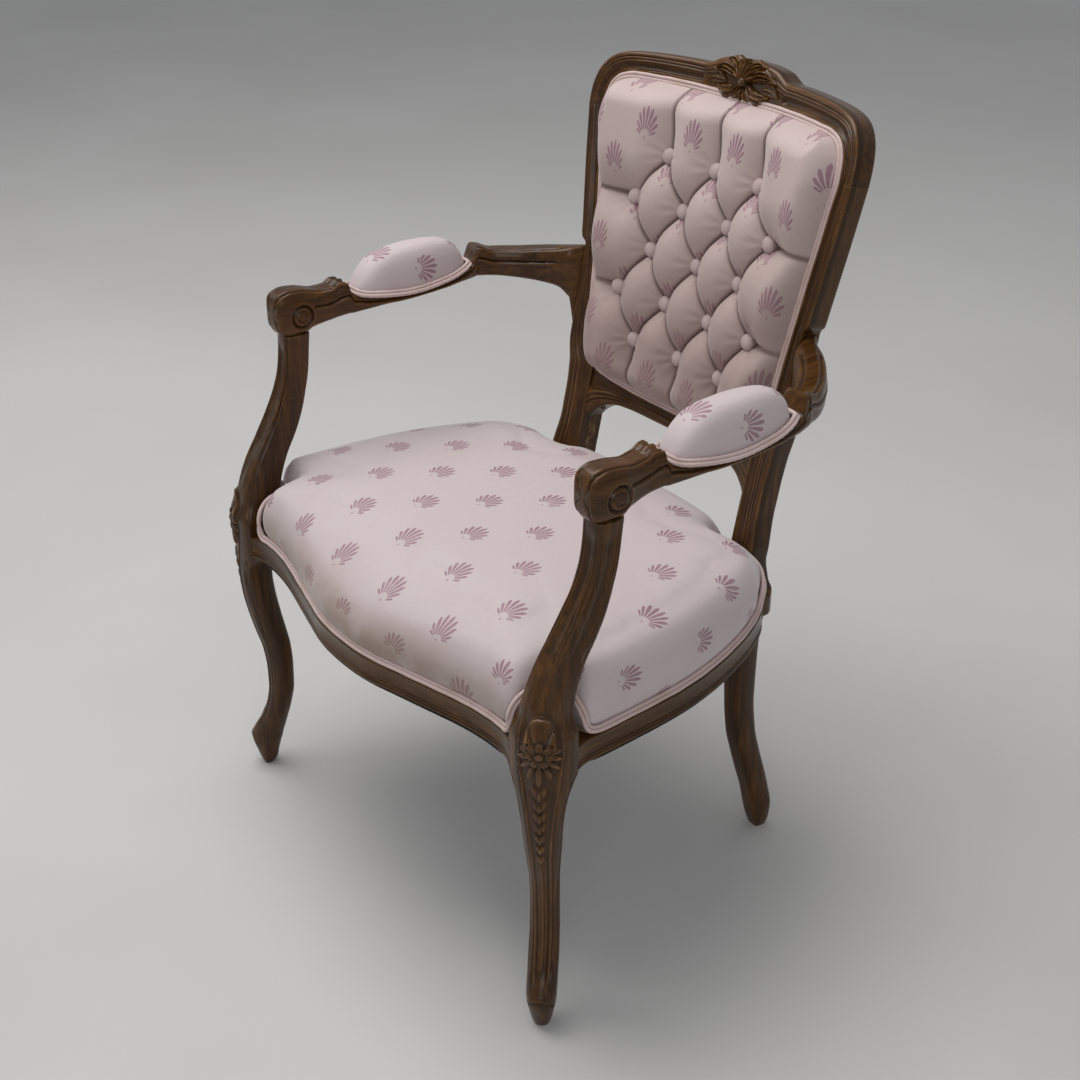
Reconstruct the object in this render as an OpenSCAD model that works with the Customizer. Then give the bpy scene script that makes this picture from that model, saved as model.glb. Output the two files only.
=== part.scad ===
// Open armchair with a carved show-wood frame, a tight crowned seat, a deep
// buttoned hollow back and padded arms. Sizes are millimetres, +Z is up and the chair
// faces -Y. The origin is on the floor, in the middle of the chair.

/* [Seat frame] */
// Height of the top of the seat rails above the floor
rail_top = 371; // [345:1:400]
// Height of the seat rails
rail_h = 30; // [27:1:36]
// Half the distance between the middles of the front posts
front_half = 305; // [285:1:325]
// Half the clear distance between the rear posts' blocks
rear_in = 146; // [138:1:152]
// Distance from the middle of the front posts to the middle of the rear posts
seat_run = 406; // [395:1:425]
// Side of the square block of a front post
post_w = 52; // [48:1:56]
// Width of the block of a rear post
rear_post_w = 74; // [70:1:78]
// Depth of the block of a rear post
rear_post_t = 33; // [31:1:36]
// How far the front rail bows forward of its ends
front_bow = 37; // [25:1:45]
// Thickness of the front and rear rails at their ends
rail_t = 28; // [26:1:31]
// Thickness of the side rails at the front
side_rail_t = 28; // [26:1:31]

/* [Legs] */
// Width of a front leg at its thinnest
front_leg_w = 33; // [30:1:36]
// How far the front foot stands out of the middle of its post, across and forward
front_foot_out = 9.5; // [7:0.5:12]
// Width of a rear leg at its thinnest
rear_leg_w = 32; // [29:1:34]
// How far the rear foot stands outward of the top of its leg
rear_foot_out = 22; // [16:1:26]
// How far the rear foot kicks back from its post
rear_foot_back = 25; // [18:1:30]

/* [Back] */
// Lean of the back from upright, in degrees
back_rake = 12; // [10:0.5:14]
// Distance of the back's hollow behind the middle of the rear posts, at the seat
back_set = 3; // [0:0.5:6]
// How far the back is hollowed between its shoulders
back_bow = 42; // [34:1:50]
// Height of the crest rail's top in its middle
back_top = 932; // [920:1:945]
// Half the width of the back at its shoulders
shoulder_half = 228; // [224:1:234]
// Half the width of the upholstered opening at its shoulders
opening_half = 206; // [202:1:208]
// Height of the upholstered opening's lowest edge
opening_low = 516; // [510:1:522]
// Height of the crest rail's face above the opening, in its middle
crest_face = 27; // [22:1:34]
// Thickness of the back frame
back_t = 33; // [31:1:36]
// How far below the crest rail's top its joints with the rear posts lie
crest_drop = 82; // [74:1:92]
// Height of the lower back rail's underside in its middle
lower_rail_low = 494; // [486:1:500]

/* [Arms] */
// Height of the seam between a front post and its arm
arm_seam = 618; // [600:1:630]
// Height of the arm's scroll over that seam
scroll_h = 58; // [52:1:62]
// Half the distance between the middles of the arm scrolls
arm_half = 308; // [300:1:312]
// How far the front post sweeps back from its block to the arm
post_sweep = 72; // [60:1:80]
// Width of the arm scroll
scroll_w = 39; // [36:1:42]
// Height of the arm pad above the arm in its middle
pad_h = 56; // [48:1:60]

/* [Upholstery] */
// Rise of the seat's crown above the seat rails
seat_crown = 95; // [80:1:105]
// How far the tufts stand forward of the back frame
tuft_rise = 40; // [32:1:46]
// Distance between two buttons of a row
button_pitch = 79; // [76:1:82]
// Diameter of a covered button
button_d = 17; // [14:1:19]
// Diameter of the round welt
welt_d = 7; // [6:0.5:7.5]
// Thickness of the cover cloth with its lining
cloth_t = 1.5; // [1.2:0.1:1.8]

/* [Webbing and fasteners] */
// Width of a webbing strap
strap_w = 50; // [44:1:54]
// Thickness of a webbing strap
strap_t = 1.2; // [1:0.1:1.4]
// Number of straps each way
strap_count = 4; // [3:1:4]
// Diameter of the dowels
dowel_d = 8; // [7:0.5:9]
// Length of a dowel
dowel_l = 34; // [28:1:36]
// Diameter of the arm's post dowel
post_dowel_d = 12; // [10:1:14]
// Diameter of a corner block screw's shank
screw_d = 4; // [3.5:0.5:5]
// Length of a corner block screw
screw_l = 34; // [30:1:38]

/* [Hidden] */

// Clearance between pieces that lie against each other
gap = 0.3;
// Clearance around dowels and screws
bore_gap = 0.2;
// Overrun of every cut
over = 5;
// Facets of round pieces, and of the back's hollow
round_fn = 32;
hollow_fn = 180;
// Sides of the leg, stile and welt sections
leg_sides = 16;
arc_steps = 3;
welt_sides = 8;

// Places of the seat frame, with the front posts' middle at y = 0
post_half = post_w / 2;
rail_low = rail_top - rail_h;
opening_high = back_top - crest_face;
crest_joint = back_top - crest_drop;
front_in = front_half - post_half;
front_out = front_half + post_half;
rear_out = rear_in + rear_post_w;
rear_front = seat_run - rear_post_t / 2;
rear_back = seat_run + rear_post_t / 2;

// The back's own surface: x across, t up along the lean, d back from its hollow front face
back_y = seat_run + back_set - rail_top * tan(back_rake);
back_r = (shoulder_half * shoulder_half + back_bow * back_bow) / (2 * back_bow);
function along(h) = h / cos(back_rake);
function hollow(x) = back_r - sqrt(back_r * back_r - x * x);
function back_pt(x, t, d) = let (e = d - hollow(x)) [
  x,
  back_y + t * sin(back_rake) + e * cos(back_rake),
  t * cos(back_rake) - e * sin(back_rake)
];
module on_back() {
  translate([0, back_y, 0]) rotate([90 - back_rake, 0, 0]) children();
}

// Middle of the chair's depth, which becomes y = 0
front_most = -post_half - front_bow;
rear_most = back_pt(0, along(back_top), back_t)[1];
mid_y = (front_most + rear_most) / 2;
module placed() {
  translate([0, -mid_y, 0]) children();
}

// Smooth tables and rings of points

function blend4(a, b, c, d, u) =
  (2 * b + (c - a) * u + (2 * a - 5 * b + 4 * c - d) * u * u + (3 * b - a - 3 * c + d) * u * u * u) / 2;
function row_between(rows, i, u) = let (n = len(rows) - 1)
  blend4(rows[max(i - 1, 0)], rows[i], rows[min(i + 1, n)], rows[min(i + 2, n)], u);
function smooth(rows, n) = concat(
  [for (i = [0 : len(rows) - 2]) for (k = [0 : n - 1]) row_between(rows, i, k / n)],
  [rows[len(rows) - 1]]);
function total(list) = [for (v = list) 1] * list;
function column(rows, c) = [for (r = rows) [r[0], r[c]]];
function flipped(points) = [for (p = points) [-p[0], p[1], p[2]]];
function clamp(v, low, high) = max(low, min(high, v));
function unit(v) = v / norm(v);

// Faces turned outward whichever way the rings run
function outward(points, faces) =
  let (volume = total([for (f = faces) cross(points[f[0]], points[f[1]]) * points[f[2]]]))
  volume > 0 ? [for (f = faces) [for (i = [len(f) - 1 : -1 : 0]) f[i]]] : faces;
function ring_faces(m, n) = [for (k = [0 : m - 2]) for (i = [0 : n - 1]) for (h = [0, 1])
  let (a = k * n + i, b = k * n + (i + 1) % n)
  h == 0 ? [a, b, b + n] : [a, b + n, a + n]];

// Solid through a list of rings with flat ends
module loft(rings) {
  n = len(rings[0]);
  m = len(rings);
  points = [for (r = rings) each r];
  faces = concat(
    ring_faces(m, n),
    [for (i = [1 : n - 2]) [0, i + 1, i]],
    [for (i = [1 : n - 2]) [(m - 1) * n, (m - 1) * n + i, (m - 1) * n + i + 1]]);
  polyhedron(points = points, faces = outward(points, faces));
}
// Bowl between outer and inner rings that share their order, with a point at the top of each
module cup(outer, inner, outer_top, inner_top) {
  n = len(outer[0]);
  m = len(outer);
  base = m * n;
  points = concat([for (r = outer) each r], [for (r = inner) each r], [outer_top, inner_top]);
  faces = concat(
    ring_faces(m, n),
    [for (f = ring_faces(m, n)) [base + f[2], base + f[1], base + f[0]]],
    [for (i = [0 : n - 1]) each joined(i, (i + 1) % n, base)],
    [for (i = [0 : n - 1]) [2 * base, base - n + i, base - n + (i + 1) % n]],
    [for (i = [0 : n - 1]) [2 * base + 1, 2 * base - n + (i + 1) % n, 2 * base - n + i]]);
  polyhedron(points = points, faces = outward(points, faces));
}
// Solid through rings that close at a single point at each end
module pod(rings, start, finish) {
  n = len(rings[0]);
  m = len(rings);
  points = concat([for (r = rings) each r], [start, finish]);
  faces = concat(
    ring_faces(m, n),
    [for (i = [0 : n - 1]) [m * n, (i + 1) % n, i]],
    [for (i = [0 : n - 1]) [m * n + 1, (m - 1) * n + i, (m - 1) * n + (i + 1) % n]]);
  polyhedron(points = points, faces = outward(points, faces));
}
// Shell between outer and inner open sections, closed along their feet and at both ends
module shell(outer, inner) {
  n = len(outer[0]);
  m = len(outer);
  base = m * n;
  points = concat([for (r = outer) each r], [for (r = inner) each r]);
  faces = concat(
    sheet_faces(m, n, 0, true),
    sheet_faces(m, n, base, false),
    [for (k = [0 : m - 2]) each joined((k + 1) * n, k * n, base)],
    [for (k = [0 : m - 2]) each joined(k * n + n - 1, (k + 1) * n + n - 1, base)],
    [for (i = [0 : n - 2]) each joined(i, i + 1, base)],
    [for (i = [0 : n - 2]) each joined((m - 1) * n + i + 1, (m - 1) * n + i, base)]);
  polyhedron(points = points, faces = outward(points, faces));
}
function sheet_faces(m, n, base, up) = [
  for (k = [0 : m - 2]) for (i = [0 : n - 2]) for (h = [0, 1])
    let (a = base + k * n + i, f = h == 0 ? [a, a + 1, a + n + 1] : [a, a + n + 1, a + n])
    up ? f : [f[2], f[1], f[0]]];
function joined(a, b, base) = [[a, base + a, base + b], [a, base + b, b]];
// Closed loop of rings
module hoop(rings) {
  n = len(rings[0]);
  m = len(rings);
  points = [for (r = rings) each r];
  faces = [for (k = [0 : m - 1]) for (i = [0 : n - 1]) for (h = [0, 1])
    let (a = k * n + i, b = k * n + (i + 1) % n, c = ((k + 1) % m) * n)
    h == 0 ? [a, b, c + (i + 1) % n] : [a, c + (i + 1) % n, c + i]];
  polyhedron(points = points, faces = outward(points, faces));
}
// Round tube along a closed path
module tube_loop(path, d) {
  m = len(path);
  hoop([for (k = [0 : m - 1])
    let (t = unit(path[(k + 1) % m] - path[(k + m - 1) % m]),
         s = unit(cross(t, abs(t[2]) > 0.9 ? [0, 1, 0] : [0, 0, 1])),
         u = cross(s, t))
    [for (i = [0 : welt_sides - 1]) let (a = 360 * i / welt_sides)
      path[k] + (s * cos(a) + u * sin(a)) * d / 2]]);
}
module mirrored(side) {
  if (side < 0) mirror([1, 0, 0]) children();
  else children();
}

// Front posts: leg, block and arm support in one piece

// Rows: height share of the leg, place, outer reach, inner reach and half width as shares of its width
front_leg_shares = [
  [0.000, 0.02, 0.20, 0.20, 0.26],
  [0.024, 0.00, 0.35, 0.34, 0.35],
  [0.060, 0.02, 0.46, 0.45, 0.43],
  [0.100, 0.03, 0.58, 0.57, 0.50],
  [0.138, -0.01, 0.66, 0.65, 0.53],
  [0.180, -0.18, 0.62, 0.61, 0.53],
  [0.230, -0.42, 0.54, 0.53, 0.53],
  [0.298, -0.66, 0.49, 0.49, 0.52],
  [0.382, -0.80, 0.51, 0.51, 0.51],
  [0.470, -0.81, 0.53, 0.53, 0.50],
  [0.560, -0.73, 0.57, 0.57, 0.51],
  [0.635, -0.55, 0.61, 0.61, 0.56],
  [0.720, -0.35, 0.63, 0.63, 0.63],
  [0.805, -0.20, 0.64, 0.64, 0.68],
  [0.885, -0.13, 0.66, 0.66, 0.78],
  [0.940, -0.18, 0.76, 0.76, 0.90],
  [0.975, -0.30, 0.88, 0.90, 1.02]];
// Rows: height share from block to seam, share of the sweep, half width and half depth as shares of the block
arm_post_shares = [
  [0.13, 0.04, 0.88, 0.96],
  [0.23, 0.13, 0.80, 0.94],
  [0.34, 0.28, 0.73, 0.93],
  [0.45, 0.49, 0.68, 0.92],
  [0.57, 0.69, 0.655, 0.84],
  [0.68, 0.83, 0.635, 0.73],
  [0.79, 0.93, 0.635, 0.67],
  [0.90, 0.975, 0.64, 0.65],
  [1.00, 1.00, 0.66, 0.67]];
post_diagonal = post_half * sqrt(2);
// Half diagonal of a rounded square whose half side is one
rounded_square_share = 1.18;
block_reach_share = 0.93;
// Height of the block above the rails
block_rise = 14;
post_foot = [front_half + front_foot_out, -front_foot_out];

// Section on the diagonals, blunt by its two powers, then stretched across and along
function post_ring(c, out, in, w, p_out, p_in, kx, ky, z) = [
  for (i = [0 : leg_sides - 1])
    let (a = 360 * i / leg_sides, ca = cos(a), sa = sin(a),
         p = ca >= 0 ? p_out : p_in,
         u = sign(ca) * pow(abs(ca), 2 / p) * (ca >= 0 ? out : in),
         v = sign(sa) * pow(abs(sa), 2 / p) * w)
    [c[0] + kx * (u + v) / sqrt(2), c[1] + ky * (v - u) / sqrt(2), z]];
function post_rings() = concat(
  [for (r = front_leg_shares)
    let (s = r[1] * front_leg_w / sqrt(2), knee = clamp((r[0] - 0.8) / 0.175, 0, 1))
    post_ring(post_foot + [s, -s], r[2] * front_leg_w, r[3] * front_leg_w, r[4] * front_leg_w,
      2 - 0.5 * knee, 1.6 - 0.6 * knee, 1, 1, r[0] * rail_low)],
  [for (z = [rail_low, rail_top, rail_top + block_rise])
    post_ring([front_half, 0], post_diagonal * block_reach_share, post_diagonal, post_diagonal,
      1.4, 1, 1, 1, z)],
  [for (r = arm_post_shares)
    let (z = rail_top + block_rise + r[0] * (arm_seam - rail_top - block_rise), k = rounded_square_share)
    post_ring([front_half + (arm_half - front_half) * r[1], post_sweep * r[1]], k, k, k,
      1.35, 1.35, r[2] * post_half, r[3] * post_half, z)]);

// Dowel places of the seat frame: two heights, and one place on each face
dowel_in = dowel_l / 2;
dowel_z = [rail_low + rail_h * 0.27, rail_low + rail_h * 0.73];
front_dowel_y = -post_half + rail_t / 2;
side_dowel_x = front_out - side_rail_t / 2;
rear_dowel_x = rear_out - side_rail_t * 0.36;
rear_rail_y = rear_back - rail_t / 2 - gap;
module seat_dowels(d, l) {
  for (z = dowel_z) {
    for (s = [-1, 1]) {
      translate([s * front_in, front_dowel_y, z]) rotate([0, 90, 0]) pin(d, l);
      translate([s * side_dowel_x, post_half, z]) rotate([90, 0, 0]) pin(d, l);
      translate([s * rear_dowel_x, rear_front, z]) rotate([90, 0, 0]) pin(d, l);
      translate([s * rear_in, rear_rail_y, z]) rotate([0, 90, 0]) pin(d, l);
    }
  }
}
module pin(d, l) {
  cylinder(d = d, h = l, center = true, $fn = round_fn);
}
post_dowel_l = 44;
module arm_dowel_set(d, small_d, extra) {
  for (s = [-1, 1]) {
    translate([s * arm_half, post_sweep, arm_seam]) pin(d, post_dowel_l + extra);
    for (z = arm_end_dowels) {
      translate([s * arm_plane, arm_end_y(z), z]) rotate([0, 90, 0]) pin(small_d, dowel_l + extra);
    }
  }
}
module front_post(side) {
  difference() {
    mirrored(side) loft(post_rings());
    seat_dowels(dowel_d + bore_gap, dowel_l + bore_gap);
    arm_dowel_set(post_dowel_d + bore_gap, dowel_d + bore_gap, bore_gap);
  }
}
module front_post_left() { color("#4a2f1c") placed() front_post(-1); }
module front_post_right() { color("#4a2f1c") placed() front_post(1); }

// Rear posts: kicked leg, block and back stile in one piece

// Plane on the stile's outer side that carries the arm's end, and its height range
arm_plane = shoulder_half * 0.87;
arm_end_low = arm_seam - scroll_h * 0.83;
arm_end_high = arm_seam + scroll_h * 1.10;
// Rows: height share of the leg, share of the foot's throw, half width and half depth as shares of the leg
rear_leg_shares = [
  [0.000, 1.00, 0.28, 0.28],
  [0.035, 0.97, 0.39, 0.39],
  [0.088, 0.92, 0.47, 0.47],
  [0.180, 0.74, 0.485, 0.485],
  [0.246, 0.56, 0.50, 0.50],
  [0.337, 0.31, 0.50, 0.50],
  [0.428, 0.10, 0.50, 0.50],
  [0.587, -0.04, 0.50, 0.50],
  [0.762, -0.06, 0.53, 0.53],
  [0.909, -0.02, 0.61, 0.545],
  [0.982, 0.00, 0.80, 0.56]];
// Rows of the stile: height share from the rails to the arm, inner and outer edge as
// shares of the shoulder half width
stile_shares = [
  [0.247, 0.655, 0.862],
  [0.469, 0.667, 0.838],
  [0.642, 0.667, 0.838],
  [0.791, 0.667, 0.846]];
// The same from the arm to the crest joint
upper_stile_shares = [
  [0.043, 0.728, 0.904],
  [0.157, 0.737, 0.917],
  [0.362, 0.750, 0.939],
  [0.630, 0.785, 0.967],
  [1.000, 0.822, 1.000]];
outer_round_share = 0.25;
edge_round = 5;
leg_top_x = rear_in + rear_leg_w * 0.82;
leg_set_back = rear_post_t * 0.18;
// Radius of the block's rear outer corner, and the stile's outer edge on the block
block_corner = 28;
stile_foot_x = shoulder_half * 0.877;

// Rectangle with rounded corners: front outer, rear outer, then the others
function box_ring(x0, x1, d0, d1, r_front, r_rear, r) = [
  for (c = [[x1, d0, r_front, 270], [x1, d1, r_rear, 0], [x0, d1, r, 90], [x0, d0, r, 180]])
    for (k = [0 : arc_steps])
      let (a = c[3] + 90 * k / arc_steps,
           mx = c[0] + (c[0] == x1 ? -c[2] : c[2]),
           my = c[1] + (c[1] == d0 ? c[2] : -c[2]))
      [mx + c[2] * cos(a), my + c[2] * sin(a)]];
function level(ring, z) = [for (p = ring) [p[0], p[1], z]];
function leaning(ring, h) = [for (p = ring) back_pt(p[0], along(h), p[1])];
stile_arm_low = arm_end_low - edge_round;
function rear_post_rings() = concat(
  [for (r = rear_leg_shares)
    let (x = leg_top_x + rear_foot_out * r[1], y = seat_run + leg_set_back + rear_foot_back * r[1],
         hw = r[2] * rear_leg_w, hd = r[3] * rear_leg_w)
    level(box_ring(x - hw, x + hw, y - hd, y + hd, hd * 0.5, hd * 0.35, hd * 0.35), r[0] * rail_low)],
  [for (z = [rail_low, rail_top])
    level(box_ring(rear_in, rear_out, rear_front, rear_back, edge_round, block_corner, edge_round), z)],
  [level(box_ring(rear_in, stile_foot_x, rear_front, rear_back, edge_round, edge_round, edge_round),
    rail_top + gap)],
  [for (r = stile_shares)
    leaning(box_ring(r[1] * shoulder_half, r[2] * shoulder_half, 0, back_t, edge_round * 2, edge_round,
      edge_round), rail_top + r[0] * (stile_arm_low - rail_top))],
  [for (h = [stile_arm_low, arm_end_high])
    leaning(box_ring(lower_rail_half, arm_plane, 0, back_t, edge_round, edge_round, edge_round), h)],
  [for (r = upper_stile_shares)
    leaning(box_ring(r[1] * shoulder_half, r[2] * shoulder_half, 0, back_t,
      back_t * outer_round_share, edge_round, edge_round), arm_end_high + r[0] * (crest_joint - arm_end_high))]);

// Opening of the back in its own plane, for the cushion and the ledge behind it
// Rows: share of the half width, share of the height between its lowest and highest edges
opening_shares = [
  [0.00, 0.000], [0.125, 0.0005], [0.25, 0.002], [0.41, 0.007], [0.60, 0.020], [0.706, 0.036], [0.782, 0.066],
  [0.820, 0.116], [0.845, 0.220], [0.866, 0.336], [0.893, 0.449], [0.918, 0.560],
  [0.949, 0.671], [0.976, 0.781], [0.998, 0.846], [0.993, 0.900], [0.965, 0.945],
  [0.910, 0.973], [0.820, 0.988], [0.685, 0.993], [0.544, 0.997], [0.360, 0.9995], [0.18, 1.000],
  [0.00, 1.000]];
opening_t = along(opening_high) - along(opening_low);
function opening_right() = [for (r = smooth(opening_shares, 2))
  [r[0] * opening_half, along(opening_low) + r[1] * opening_t]];
function opening_line() = let (right = opening_right(), n = len(right))
  concat(right, [for (i = [n - 2 : -1 : 1]) [-right[i][0], right[i][1]]]);
// Line inside a closed outline that runs anticlockwise
function inset(line, d) = let (n = len(line)) [for (i = [0 : n - 1])
  let (a = line[(i + n - 1) % n], b = line[i], c = line[(i + 1) % n],
       u = unit(b - a), v = unit(c - b), p = [-u[1], u[0]], q = [-v[1], v[0]])
  b + d * (p + q) / (1 + p * q)];
ledge_w = 14;
ledge_front = 12;
ledge_back = 24;
// Everything in front of the surface that lies d behind the hollow front face
module in_front_of(d) {
  translate([0, -over, back_r - d]) rotate([-90, 0, 0])
    cylinder(r = back_r, h = along(back_top) + 2 * over, $fn = hollow_fn);
}
// Prism through the back's outline
module through(line) {
  translate([0, 0, -back_t - over]) linear_extrude(height = back_t + back_bow + 2 * over) polygon(line);
}
module front_part(line, d) {
  intersection() {
    through(line);
    in_front_of(d);
  }
}
module back_layer(line, d_front, d_back) {
  on_back() difference() {
    front_part(line, d_back);
    in_front_of(d_front);
  }
}
module rabbets() {
  on_back() {
    front_part(opening_line(), ledge_front);
    through(inset(opening_line(), ledge_w));
    difference() {
      through(opening_line());
      in_front_of(ledge_back);
    }
  }
}
lower_rail_half = 0.667 * shoulder_half;
lower_dowel_h = [0.35, 0.75];
function lower_dowel_t(k) = along(lower_rail_low - rail_h + rail_h * 1.7 * k);
crest_dowel_x = [shoulder_half - back_t * 0.5, shoulder_half - back_t * 0.95];
module back_dowels(d, l) {
  for (s = [-1, 1]) {
    for (k = lower_dowel_h) {
      on_back() translate([s * lower_rail_half, lower_dowel_t(k), hollow(lower_rail_half) - back_t / 2])
        rotate([0, 90, 0]) pin(d, l);
    }
    for (x = crest_dowel_x) {
      on_back() translate([s * x, along(crest_joint), hollow(x) - back_t / 2]) rotate([90, 0, 0]) pin(d, l);
    }
  }
}
arm_end_dowels = [arm_seam - scroll_h * 0.21, arm_seam + scroll_h * 0.45];
function arm_end_y(z) = back_y + z * tan(back_rake) - hollow(arm_plane) / cos(back_rake) + back_t * 0.55;
module rear_post(side) {
  difference() {
    mirrored(side) loft(rear_post_rings());
    rabbets();
    seat_dowels(dowel_d + bore_gap, dowel_l + bore_gap);
    back_dowels(dowel_d + bore_gap, dowel_l + bore_gap);
    arm_dowel_set(post_dowel_d + bore_gap, dowel_d + bore_gap, bore_gap);
  }
}
module rear_post_left() { color("#4a2f1c") placed() rear_post(-1); }
module rear_post_right() { color("#4a2f1c") placed() rear_post(1); }

// Crest rail with its round shoulders

// Rows: outer edge, then inner edge, as shares of the shoulder half width and of the
// height from the joint to the top
crest_shares = [
  [1.000, 0.000, 0.822, 0.00], [1.000, 0.200, 0.822, 0.17], [0.990, 0.400, 0.805, 0.31],
  [0.962, 0.600, 0.755, 0.39], [0.905, 0.770, 0.665, 0.43], [0.820, 0.870, 0.590, 0.44],
  [0.700, 0.925, 0.510, 0.45], [0.540, 0.960, 0.410, 0.455], [0.400, 0.982, 0.310, 0.46],
  [0.300, 0.990, 0.240, 0.46], [0.255, 1.050, 0.205, 0.46], [0.200, 1.140, 0.165, 0.46],
  [0.100, 1.180, 0.085, 0.46], [0.000, 1.190, 0.000, 0.46]];
crest_rise = along(back_top) - along(crest_joint);
// Section from the inner to the outer edge: share of the width, share of the thickness
crest_section_shares = [
  [0.00, 0.00], [0.82, 0.00], [0.93, 0.04], [0.99, 0.14], [1.00, 0.28], [1.00, 0.64],
  [0.96, 0.84], [0.86, 0.96], [0.72, 1.00], [0.00, 1.00]];
function crest_ring(r, side) = [for (s = crest_section_shares)
  back_pt(side * shoulder_half * (r[2] + (r[0] - r[2]) * s[0]),
    along(crest_joint) + crest_rise * (r[3] + (r[1] - r[3]) * s[0]), back_t * s[1])];
module crest_rail() {
  rows = smooth(crest_shares, 2);
  n = len(rows);
  color("#4a2f1c") placed() difference() {
    loft(concat([for (r = rows) crest_ring(r, 1)], [for (i = [n - 2 : -1 : 0]) crest_ring(rows[i], -1)]));
    rabbets();
    back_dowels(dowel_d + bore_gap, dowel_l + bore_gap);
  }
}
// Carved flower and leaves that are glued on the crest
// Rows: share of the length, half height and relief as shares of the carving's height
carving_shares = [
  [-0.92, 0.22, 0.25], [-0.70, 0.42, 0.55], [-0.45, 0.36, 0.45], [-0.26, 0.50, 0.80],
  [0.00, 0.60, 1.00], [0.26, 0.50, 0.80], [0.45, 0.36, 0.45], [0.70, 0.42, 0.55], [0.92, 0.22, 0.25]];
carving_half = 66;
carving_h = 34;
carving_relief = 8;
function carving_mid() = along(back_top) - carving_h * 0.12;
module crest_carving() {
  ring_sides = 12;
  rings = [for (r = smooth(carving_shares, 2))
    [for (i = [0 : ring_sides - 1])
      let (a = 180 * i / (ring_sides - 1))
      back_pt(r[0] * carving_half, carving_mid() - abs(r[0]) * carving_h * 0.2
        + r[1] * carving_h * cos(a), -gap / 3 - r[2] * carving_relief * sin(a))]];
  color("#54361f") placed() loft(rings);
}

// Lower back rail, arched under the upholstery
// Rows: share of its half length, top and underside as shares of its height at the ends
lower_rail_shares = [
  [0.00, 0.52, 0.00], [0.25, 0.52, 0.00], [0.50, 0.54, 0.02], [0.66, 0.58, 0.02],
  [0.80, 0.65, -0.03], [0.92, 0.76, -0.14], [1.00, 0.86, -0.25]];
lower_rail_size = 72;
lower_section_shares = [
  [0.06, 0.00], [0.94, 0.00], [1.00, 0.12], [1.00, 0.88], [0.94, 1.00], [0.06, 1.00],
  [0.00, 0.88], [0.00, 0.12]];
module lower_back_rail() {
  right = smooth(lower_rail_shares, 2);
  n = len(right);
  rows = concat([for (i = [n - 1 : -1 : 1]) [-right[i][0], right[i][1], right[i][2]]], right);
  color("#4a2f1c") placed() difference() {
    loft([for (r = rows) [for (s = lower_section_shares)
      back_pt(r[0] * lower_rail_half,
        along(lower_rail_low) + lower_rail_size * (r[2] + (r[1] - r[2]) * s[0]), back_t * s[1])]]);
    rabbets();
    back_dowels(dowel_d + bore_gap, dowel_l + bore_gap);
  }
}

// Seat rails

// Outer line of the front rail: share of its half length, share of its bow
front_line_shares = [
  [0.00, 1.00], [0.18, 0.92], [0.36, 0.57], [0.52, 0.27], [0.67, -0.02], [0.80, -0.17],
  [0.90, -0.19], [0.96, -0.12], [1.00, 0.00]];
// Outer line of a side rail: share of its length, share of the way out to the front post
side_line_shares = [
  [0.000, 1.000], [0.055, 0.950], [0.185, 0.925], [0.355, 0.885], [0.475, 0.835], [0.620, 0.718],
  [0.771, 0.534], [0.880, 0.350], [0.950, 0.190], [1.000, 0.000]];
// Thickness of a side rail at those places, as shares of its thickness at the front
side_thick_shares = [0.83, 0.634, 0.614, 0.654, 0.714, 0.785, 0.888, 0.932, 1.35, 1.50];
front_line = [for (r = smooth(front_line_shares, 2))
  [r[0] * front_in, -post_half - r[1] * front_bow]];
side_span = front_out - rear_out;
side_len = rear_front - post_half;
side_line = [for (r = smooth(side_line_shares, 2))
  [rear_out + r[1] * side_span, post_half + r[0] * side_len]];
side_thick = smooth([for (v = side_thick_shares) [v]], 2);
side_inner = [for (i = [0 : len(side_line) - 1]) side_line[i] - [side_rail_t * side_thick[i][0], 0]];
front_inner = [for (p = front_line)
  [p[0], min(p[1] + rail_t * 1.4, rail_t - post_half)]];
// Section of a rail: share of the way in, share of its height
rail_section_shares = [
  [0.00, 1.00], [0.00, 0.42], [0.03, 0.30], [0.02, 0.20], [0.10, 0.05], [0.25, 0.00],
  [0.90, 0.00], [1.00, 0.06], [1.00, 1.00]];
function rail_ring(a, b) = [for (s = rail_section_shares)
  [a[0] + (b[0] - a[0]) * s[0], a[1] + (b[1] - a[1]) * s[0], rail_low + s[1] * rail_h]];
module front_seat_rail() {
  n = len(front_line);
  color("#4a2f1c") placed() difference() {
    loft(concat(
      [for (i = [0 : n - 1]) rail_ring(front_line[n - 1 - i], front_inner[n - 1 - i])],
      [for (i = [1 : n - 1]) flipped(rail_ring(front_line[i], front_inner[i]))]));
    seat_dowels(dowel_d + bore_gap, dowel_l + bore_gap);
    block_screws(screw_d + bore_gap, screw_d + bore_gap, bore_gap);
  }
}
module side_seat_rail(side) {
  difference() {
    mirrored(side) loft([for (i = [0 : len(side_line) - 1]) rail_ring(side_line[i], side_inner[i])]);
    seat_dowels(dowel_d + bore_gap, dowel_l + bore_gap);
    block_screws(screw_d + bore_gap, screw_d + bore_gap, bore_gap);
  }
}
module side_seat_rail_left() { color("#4a2f1c") placed() side_seat_rail(-1); }
module side_seat_rail_right() { color("#4a2f1c") placed() side_seat_rail(1); }
module rear_seat_rail() {
  color("#4a2f1c") placed() difference() {
    translate([-rear_in, rear_rail_y - rail_t / 2, rail_low]) cube([2 * rear_in, rail_t, rail_h]);
    seat_dowels(dowel_d + bore_gap, dowel_l + bore_gap);
    block_screws(screw_d + bore_gap, screw_d + bore_gap, bore_gap);
  }
}

// Corner blocks inside the seat frame, each held by two screws

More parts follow.
